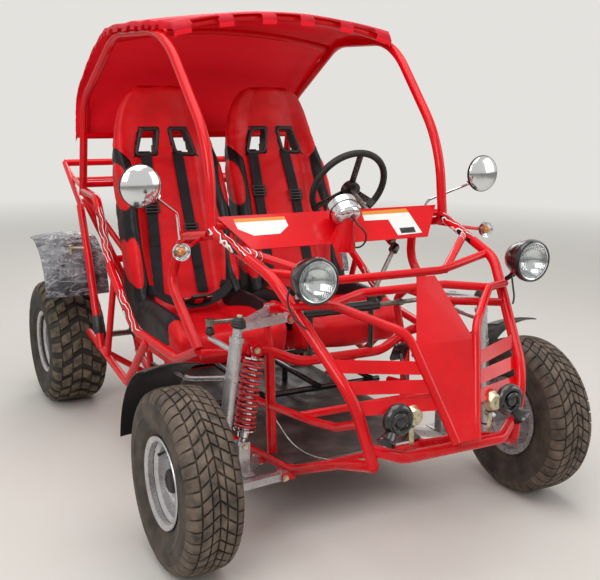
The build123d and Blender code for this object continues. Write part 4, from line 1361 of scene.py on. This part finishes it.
def make_coil_overs():
    """The four spring and damper units."""
    for kind, eye_axis, turns in (("front", (0, 1, 0), 13), ("rear", (1, 0, 0), 9)):
        bm = bmesh.new()
        add_coil_over(bm, *spring_ends[kind], eye_axis, turns)
        left = finish(bm, f"{kind}_coil_over_left", [chrome, spring_paint, zinc], slot="spring_red")
        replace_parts(left, f"left_{kind}_shock")
        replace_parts(mirrored(left, f"{kind}_coil_over_right"), f"right_{kind}_shock")


arm_pivots = ((290, 70, 190), (300, 231, 190), (300, 22, 731), (299, 152, 731))


def make_spring_brackets():
    """Red brackets that carry the springs, the arms' ears on the frame and the engine's rails."""
    bm = bmesh.new()
    add_box_pair(bm, at(346, 186, 618), (34, 78, 5))
    for y in (148, 182):
        add_box_pair(bm, at(346, y, 600), (34, 5, 38))
    for x in (331, 361):
        add_box_pair(bm, at(x, 203, 600), (5, 44, 36))
    for x, y, z in arm_pivots:
        for shift in (-20.5, 20.5):
            add_box_pair(bm, at(x - 12, y + shift, z + 3), (48, 5, 26), 2)
    add_tube(bm, [rear(-373, -116, 660), rear(373, -116, 660)], 17, 20, smooth=False)
    for x in (233, 267):
        add_box_pair(bm, rear(x, -126, 640), (5, 34, 76), 2)
    for x in (198, 232):
        add_box_pair(bm, rear(x, -73, 315), (5, 28, 58), 2)
    add_tube_pair(bm, [rear(186, -473, 227), rear(186, -153, 227)], 13)
    for y in (-333, -213):
        add_box(bm, Matrix.Translation(rear(0, y, 242.5)), (382, 40, 6), 1)
    finish(bm, "spring_and_engine_brackets", [red_paint], slot="red_paint")


def make_arm_brackets():
    """Silver spring brackets on the lower arms, and the bushes at the arms' pivots."""
    bm = bmesh.new()
    add_box_pair(bm, at(402, 146, 204), (40, 130, 5))
    for y in (122.5, 157.5):
        add_box_pair(bm, at(402, y, 253), (40, 5, 104), 2)
    for x, y, z in arm_pivots:
        add_turned_pair(bm, ((-18, 6), (-18, 15), (18, 15), (18, 6)), at(x, y, z), (0, 1, 0), 24)
    finish(bm, "arm_brackets", [silver_paint], slot="silver_paint")


def make_caliper():
    """The brake caliper over its disc, on a bracket with two bolts."""
    bm = bmesh.new()
    for x in (-20, 20):
        add_box(bm, Matrix.Translation(rear(disc_line + x, -84, 305)), (28, 62, 54), 5, 0)
    add_box(bm, Matrix.Translation(rear(disc_line, -104, 305)), (20, 18, 50), 3, 0)
    add_box(bm, Matrix.Translation(rear(-176, -84, 285)), (70, 26, 10), 2, 1)
    for z in (290, 320):
        add_bolt(bm, rear(-171.5, -84, z), (-1, 0, 0), 7, 1)
    finish(bm, "brake_caliper", [alloy, zinc], slot="cast_alloy")


def add_crowned_band(bm, centre, edge_r, half, rise, first, span, creases):
    """Add a crowned band about an axis along X, from an angle above the rear horizontal, in millimetres."""
    rows, columns = (150, 60) if creases else (48, 16)
    grid = bmesh.ops.create_grid(bm, x_segments=columns, y_segments=rows, size=0.5)["verts"]
    for vert in grid:
        across, turn = vert.co.x * 2, math.radians(first + span * (vert.co.y + 0.5))
        radius = edge_r + rise * (1 - across * across) + 2
        if creases:
            place = Vector((across * half / 55, turn * edge_r / 42, 1.5))
            radius += 5 * (0.35 - abs(noise.noise(place))) + 3 * (0.3 - abs(noise.noise(place * 3.4)))
        vert.co = centre + Vector((across * half, radius * math.cos(turn), radius * math.sin(turn))) / 1000
    faces = list({f for v in grid for f in v.link_faces})
    bmesh.ops.solidify(bm, geom=faces, thickness=0.004)


def make_fenders():
    """Crowned front fenders on their rods, and rear ones in crumpled packing film on bright rods."""
    bm = bmesh.new()
    add_crowned_band(bm, at(656, 0, 279.5), 333, 92, 12, 6, 74, False)
    add_tube(bm, [at(500, 40, 560), at(531, 232, 506), at(545, 262, 503), at(600, 206, 546)], 8, 16,
             smooth=True, material=1)
    left = finish(bm, "front_fender_left", [plastic, silver_paint], "left_steer", sharp=50,
                  slot="fender_plastic")
    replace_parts(left, "left_front_fender")
    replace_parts(mirrored(left, "front_fender_right", "right_steer"), "right_front_fender")
    bm = bmesh.new()
    add_crowned_band(bm, rear(602.5, -103, 540), 236, 134, 16, 84, 91, True)
    for height, foot in ((575, 1317), (640, 1344)):
        add_tube(bm, [at(552, foot, height), at(552, wheelbase_mm - 340, height)], 7, 16, smooth=False,
                 material=1)
        add_bolt(bm, at(552, wheelbase_mm - 342, height), (0, 1, 0), 8, 1)
    add_tube(bm, [at(541, 1430, 746), at(614, 1440, 752)], 6, 16, smooth=False, material=1)
    add_turned(bm, ((-30, 0), (-30, 5), (8, 5), (8, 9), (13, 9), (13, 0)), at(608, 1440, 750), (0, 0, 1),
               16, 1)
    left = finish(bm, "rear_fender_left", [wrapped, zinc], sharp=50, slot="fender_plastic")
    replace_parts(left, "left_rear_fender")
    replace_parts(mirrored(left, "rear_fender_right"), "right_rear_fender")


def make_rims():
    """Pressed steel rims: a barrel with turned flanges and a drop centre, a domed disc and its hub."""
    for kind, hub, half, disc, bore, hub_r, body in (
            ("front", front_hub, 75, 6, 14.3, 34, "{}_front_wheel"),
            ("rear", rear_hub, 104, 20, 16, 38, "rear_wheels")):
        bm = bmesh.new()
        flange, seat, drop, wall = 141, 127, 113, 4
        add_turned(bm, ((-half, flange), (-half + wall, flange), (-half + wall, seat), (-half + 24, seat),
                        (-half + 34, drop), (half - 34, drop), (half - 24, seat), (half - wall, seat),
                        (half - wall, flange - 3), (half - 1, flange), (half + 2, flange - 2),
                        (half + 1, flange - 6), (half - 1, seat), (half - 4, seat - wall),
                        (half - 22, seat - wall), (half - 32, drop - wall), (-half + 32, drop - wall),
                        (-half + 22, seat - wall), (-half, seat - wall)), hub, (1, 0, 0), 96)
        add_turned(bm, ((disc, bore), (disc, 110), (disc + 5, 110), (disc + 5, 80), (disc + 8, 74),
                        (disc + 14, 62), (disc + 14, bore)), hub, (1, 0, 0), 96)
        add_turned(bm, ((-30, bore), (-30, hub_r), (disc + 26, hub_r), (disc + 28, hub_r - 2),
                        (disc + 28, bore)), hub, (1, 0, 0), 48)
        left = finish(bm, f"{kind}_rim_left", [silver_paint], body.format("left"), slot="rim_silver")
        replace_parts(left, f"left_{kind}_rim")
        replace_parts(mirrored(left, f"{kind}_rim_right", body.format("right")), f"right_{kind}_rim")


steering_centre = at(245, 580, 1060)
column_up = about_x(math.radians(28))


def make_steering():
    """The wheel with its padded grip, flat spokes and column, and the lower shaft into the rack."""
    bm = bmesh.new()
    grip = [(13 * math.sin(a), 151 + 13 * math.cos(a)) for a in (math.tau * i / 16 for i in range(17))]
    add_turned(bm, grip[:-1], steering_centre, column_up, 88, 1)
    add_turned(bm, ((-28, 0), (-28, 30), (-26, 36), (-4, 36), (0, 32), (2, 20), (2, 0)), steering_centre,
               column_up, 40, 0)
    face = axis_frame(steering_centre, column_up)
    for turn in (90, 210, 330):
        spoke = face @ Matrix.Rotation(math.radians(turn), 4, "Z")
        add_box(bm, spoke @ Matrix.Translation((0.088, 0, -0.012)), (118, 27, 4), 1.5, 0)
        for hole in (64, 84, 104):
            add_turned(bm, ((-2.4, 5.5), (-2.4, 8), (2.4, 8), (2.4, 5.5)),
                       spoke @ Vector((hole / 1000, 0, -0.012)), column_up, 20, 2)
    add_turned(bm, ((20, 0), (20, 10), (358, 10), (360, 8), (360, 0)), steering_centre, -column_up, 24, 2)
    wheel = finish(bm, "steering_wheel_and_column", [black_paint, rubber, bare_steel], "steering_column",
                   slot="black_parts")
    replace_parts(wheel, "steering_wheel")
    bm = bmesh.new()
    joint = steering_centre - column_up * 0.372
    mouth = at(126, 213, 722)
    add_turned(bm, ((-6, 0), (-6, 12), (2, 17), (24, 17), (28, 12), (28, 0)), joint, mouth - joint, 28, 1)
    add_tube(bm, [joint, mouth], 8, 16, smooth=False, material=0)
    add_turned(bm, ((-8, 8.4), (-8, 14), (-5, 17), (34, 17), (34, 8.4)), mouth, at(126, 205, 690) - mouth,
               28, 1)
    finish(bm, "lower_steering_shaft", [bare_steel, black_paint], slot="black_parts")


def make_mirrors():
    """Chrome mirrors: a domed shell on a bent stalk."""
    bm = bmesh.new()
    add_turned(bm, ((0, 0), (0, 63), (-2, 66), (-6, 67), (-10, 63.5), (-14, 58), (-19, 48), (-23, 37),
                    (-26, 23), (-27.5, 10), (-28, 0)), mirror_place, (0, 1, 0), 64, 0)
    add_tube(bm, [at(487, 455, 925), at(497, 440, 975), at(505, 428, 1015), at(520, 414, 1026),
                  at(615, 320, 1085)], 5, 16, smooth=True)
    add_tube(bm, [at(608, 326, 1081), at(655, 302, 1112)], 5, 16, smooth=False)
    left = finish(bm, "mirror_shell_left", [chrome], slot="chrome_plate")
    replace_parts(left, "left_mirror")
    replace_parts(mirrored(left, "mirror_shell_right"), "right_mirror")


def make_speedometer():
    """The instrument's can on its red cone, cut along the dash."""
    bm = bmesh.new()
    low, high = at(-6, 205, 905), at(0, 178, 1004)
    length = (high - low).length * 1000
    add_turned(bm, ((0, 0), (0, 50), (length, 21), (length, 0)), low, high - low, 48, 0)
    run = Vector((0, 85, 98)).normalized()
    bmesh.ops.bisect_plane(bm, geom=bm.verts[:] + bm.edges[:] + bm.faces[:], plane_co=at(0, 192, 920),
                           plane_no=Vector((0, run.z, -run.y)), clear_outer=True)
    add_turned(bm, ((0, 0), (0, 26), (3, 34), (8, 42), (18, 48), (50, 48), (50, 52), (66, 52), (66, 0)),
               dial_place, dial_axis, 64, 1)
    body = finish(bm, "speedometer_can", [red_paint, chrome], slot="chrome_plate")
    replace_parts(body, "speedometer")


def make_axle():
    """The live axle with its toothed sprocket, drilled brake disc and their hubs."""
    bm = bmesh.new()
    reach = rear_hub.x * 1000 + 44
    add_turned(bm, ((-reach, 0), (-reach, 14), (-reach + 2, 16), (reach - 2, 16), (reach, 14), (reach, 0)),
               Vector((0, rear_hub.y, rear_hub.z)), (1, 0, 0), 32, 0)
    for line, outer, inner, thick, teeth in ((sprocket_line, 84, 66, 6, True), (disc_line, 92, 62, 5, False)):
        middle_of = Vector((line / 1000, rear_hub.y, rear_hub.z))
        rings = []
        steps = 160
        for i in range(steps):
            away = outer + (3.2 if i % 4 in (1, 2) else -5) if teeth else outer
            spoke = about_x(math.tau * i / steps)
            rings.append([bm.verts.new(middle_of + spoke * r / 1000) for r in (inner, away)])
        faces = [bm.faces.new((a[0], a[1], b[1], b[0])) for a, b in zip(rings, rings[1:] + rings[:1])]
        bmesh.ops.solidify(bm, geom=faces, thickness=thick / 1000)
        for i in range(5):
            angle = math.tau * i / 5
            spoke = Matrix.Translation(middle_of) @ Matrix.Rotation(angle, 4, "X")
            add_box(bm, spoke @ Matrix.Translation((0, 0, 0.05)), (thick, 20, 44), 1, 0)
            add_bolt(bm, spoke @ Vector((0.004, 0, 0.04)), (1, 0, 0), 5, 1)
        add_turned(bm, ((-20, 16), (-20, 26), (-18, 30), (18, 30), (20, 26), (20, 16)), middle_of, (1, 0, 0),
                   32, 1)
        if not teeth:
            for i in range(24):
                angle = math.tau * i / 24
                away = 0.084 if i % 2 else 0.07
                add_turned(bm, ((-3.1, 0), (-3.1, 3.2), (3.1, 3.2), (3.1, 0)),
                           middle_of + about_x(angle) * away, (1, 0, 0), 12, 2)
    axle = finish(bm, "axle_with_sprocket", [bare_steel, zinc, black_paint], "rear_wheels", sharp=30,
                  slot="cast_alloy")
    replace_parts(axle, "rear_axle")


def make_engine():
    """The engine: crankcase with side covers, finned cylinder, head, output sprocket, intake and filter."""
    bm = bmesh.new()
    low = engine_low
    add_box(bm, Matrix.Translation(rear(-35, -273, low + 66)), (230, 205, 134), 22, 0)
    add_box(bm, Matrix.Translation(rear(-35, -273, low + 6)), (250, 160, 12), 3, 0)
    add_turned(bm, ((-4, 0), (-4, 64), (20, 64), (26, 60), (28, 50), (28, 0)), rear(-148, -283, low + 68),
               (-1, 0, 0), 56, 0)
    add_turned(bm, ((-4, 0), (-4, 46), (12, 46), (16, 42), (16, 0)), rear(80, -293, low + 84), (1, 0, 0),
               48, 0)
    add_turned(bm, ((0, 0), (0, 12), (50, 12), (50, 0)), rear(70, -243, engine_shaft_z), (1, 0, 0), 24, 3)
    drive = rear(sprocket_line, -243, engine_shaft_z)
    add_turned(bm, ((-3, 0), (-3, 26), (3, 26), (3, 0)), drive, (1, 0, 0), 28, 3)
    for i in range(14):
        angle = math.tau * i / 14
        away = about_x(angle) * 0.028
        add_box(bm, Matrix.Translation(drive + away) @ Matrix.Rotation(angle, 4, "X"), (5, 8, 5), 1, 3)
    cylinder = rear(-35, -283, 0)
    add_turned(bm, ((low + 130, 0), (low + 130, 46), (low + 230, 46), (low + 230, 0)), cylinder,
               (0, 0, 1), 40, 0)
    for level in range(7):
        add_box(bm, Matrix.Translation(cylinder + Vector((0, 0, (low + 145 + 12 * level) / 1000))),
                (136, 128, 4), 1.5, 0)
    add_box(bm, Matrix.Translation(cylinder + Vector((0, 0, (low + 244) / 1000))), (118, 112, 34), 8, 0)
    add_box(bm, Matrix.Translation(cylinder + Vector((0, 0, (low + 270) / 1000))), (84, 92, 22), 8, 0)
    add_turned(bm, ((0, 0), (0, 18), (55, 18), (55, 0)), rear(-55, -333, intake_z), (0, -1, 0), 28, 1)
    add_turned(bm, ((0, 0), (0, 38), (3, 42), (117, 42), (120, 38), (120, 0)), filter_end, (-1, 0, 0), 48, 2)
    motor = finish(bm, "engine_block", [alloy, rubber, plastic, bare_steel], slot="cast_alloy")
    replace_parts(motor, "engine")


def make_exhaust():
    """The header pipe from the head and the muffler over the axle."""
    bm = bmesh.new()
    port = engine_low + 241
    add_tube(bm, [rear(-5, -232, port), rear(-5, -190, port), rear(0, -158, port + 4), rear(60, -100, 550),
                  rear(112, -50, 560), rear(120, -20, 560), rear(120, 0, 560)], 18, 24, smooth=True)
    add_turned(bm, ((0, 0), (0, 30), (3, 42), (10, 48), (225, 48), (232, 42), (236, 32), (250, 16), (285, 16),
                    (285, 13), (262, 13), (262, 0)), muffler_place, (0, 1, 0), 56, 0)
    pipe = finish(bm, "exhaust_pipe", [black_paint], slot="black_shell")
    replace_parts(pipe, "exhaust")


def make_cables():
    """The brake hose, the speedometer cable and the two headlight leads."""
    cable_r = 3
    bm = bmesh.new()
    hose = ((-261, 286, 376), (-242, 226, 330), (-224, 140, 262), (-185, 62, 236), (-105, -10, 233),
            (0, -52, 244), (86, -28, 288), (136, 26, 346), (155, 50, 398), (160, 38, 450))
    dial = ((17, 166, 1001), (22, 144, 984), (44, 133, 962), (56, 146, 932), (56, 176, 904), (48, 216, 896),
            (42, 250, 928), (40, 272, 976))
    lead = ((380, -199, 906), (396, -180, 880), (409, -176, 845), (405, -190, 808), (391, -217, 776),
            (373, -230, 764))
    for line, finish_of in ((hose, 1), (dial, 0)):
        add_tube(bm, [at(*p) for p in line], cable_r, 12, material=finish_of)
    add_tube_pair(bm, [at(*p) for p in lead], cable_r, smooth=True)
    finish(bm, "cables", [rubber, bare_steel], slot="black_parts")


def make_sleeves():
    """Black sleeves over the lower ends of the rear stays."""
    bm = bmesh.new()
    foot, knee = at(552, 1225, 358), at(552, 1370, 700)
    add_turned_pair(bm, ((60, 17.2), (60, 20), (62, 21), (133, 21), (135, 20), (135, 17.2)), foot,
                    knee - foot, 32)
    finish(bm, "stay_sleeves", [plastic], slot="black_parts")


# Stage
backdrop_colour = "e4e2de"
ambient = 0.42


def floor_cloth():
    """A pale studio floor that fades into the backdrop."""
    material, tree, shader = start("studio_floor", "d9d6d0", 0.9)
    place = add(tree, "ShaderNodeTexCoord").outputs["Object"]
    reach = add(tree, "ShaderNodeVectorMath", {"operation": "LENGTH"}, {0: place}).outputs["Value"]
    far = add(tree, "ShaderNodeMapRange", {"From Min": 3.5, "From Max": 9},
              {"Value": reach}).outputs["Result"]
    seen = product(tree, add(tree, "ShaderNodeLightPath").outputs["Is Camera Ray"], far)
    glow = add(tree, "ShaderNodeEmission", {"Color": linear(backdrop_colour)})
    both = add(tree, "ShaderNodeMixShader", links={0: seen, 1: shader.outputs[0], 2: glow.outputs[0]})
    tree.links.new(both.outputs[0], tree.nodes["Material Output"].inputs["Surface"])
    return material


def make_stage():
    """Floor, pale world and soft lights."""
    bm = bmesh.new()
    bmesh.ops.create_circle(bm, cap_ends=True, segments=64, radius=30)
    mesh = bpy.data.meshes.new("studio_floor")
    bm.to_mesh(mesh)
    bm.free()
    mesh.materials.append(floor_cloth())
    ground = bpy.data.objects.new("studio_floor", mesh)
    bpy.context.collection.objects.link(ground)
    world = bpy.data.worlds.new("studio")
    bpy.context.scene.world = world
    world.use_nodes = True
    tree = world.node_tree
    paths = add(tree, "ShaderNodeLightPath")
    rays = [paths.outputs[f"Is {kind} Ray"] for kind in ("Camera", "Glossy", "Transmission")]
    seen = product(tree, product(tree, rays[0], rays[1], "MAXIMUM"), rays[2], "MAXIMUM")
    strength = add(tree, "ShaderNodeMapRange", {"To Min": ambient, "To Max": 1}, {"Value": seen})
    background = tree.nodes["Background"]
    background.inputs["Color"].default_value = linear(backdrop_colour)
    tree.links.new(strength.outputs["Result"], background.inputs["Strength"])
    lights = (
        # name, place, aim, size, power
        ("sky_panel", (-0.4, -0.6, 4.6), (0, 0, 0.5), 4.5, 150),
        ("key_panel", (-3.6, -3.2, 3.4), (0, 0, 0.6), 2.6, 95),
        ("fill_panel", (3.8, -2.6, 2.4), (0, 0, 0.6), 2.8, 50),
        ("rear_panel", (1.5, 4.2, 3.2), (0, 0.4, 0.8), 2.6, 60))
    for name, place, aim, size, power in lights:
        lamp = bpy.data.lights.new(name, "AREA")
        lamp.size = size
        lamp.energy = power
        holder = bpy.data.objects.new(name, lamp)
        holder.location = place
        holder.rotation_euler = (Vector(aim) - Vector(place)).to_track_quat("-Z", "Y").to_euler()
        bpy.context.collection.objects.link(holder)
    bpy.context.scene.view_settings.view_transform = "Standard"


set_camera()
dress_nodes()
make_tyres()
make_seats()
make_slot_trims()
make_belts()
make_canopy()
make_headlights()
make_signals()
make_hubs()
make_plates()
make_dial()
make_mirror_backs()
make_horns()
make_boots()
make_bolts()
make_chain()
make_pedal_pads()
make_engine_trim()
make_muffler_shield()
make_coil_overs()
make_spring_brackets()
make_arm_brackets()
make_caliper()
make_fenders()
make_rims()
make_steering()
make_mirrors()
make_speedometer()
make_axle()
make_engine()
make_exhaust()
make_cables()
make_sleeves()
make_stage()
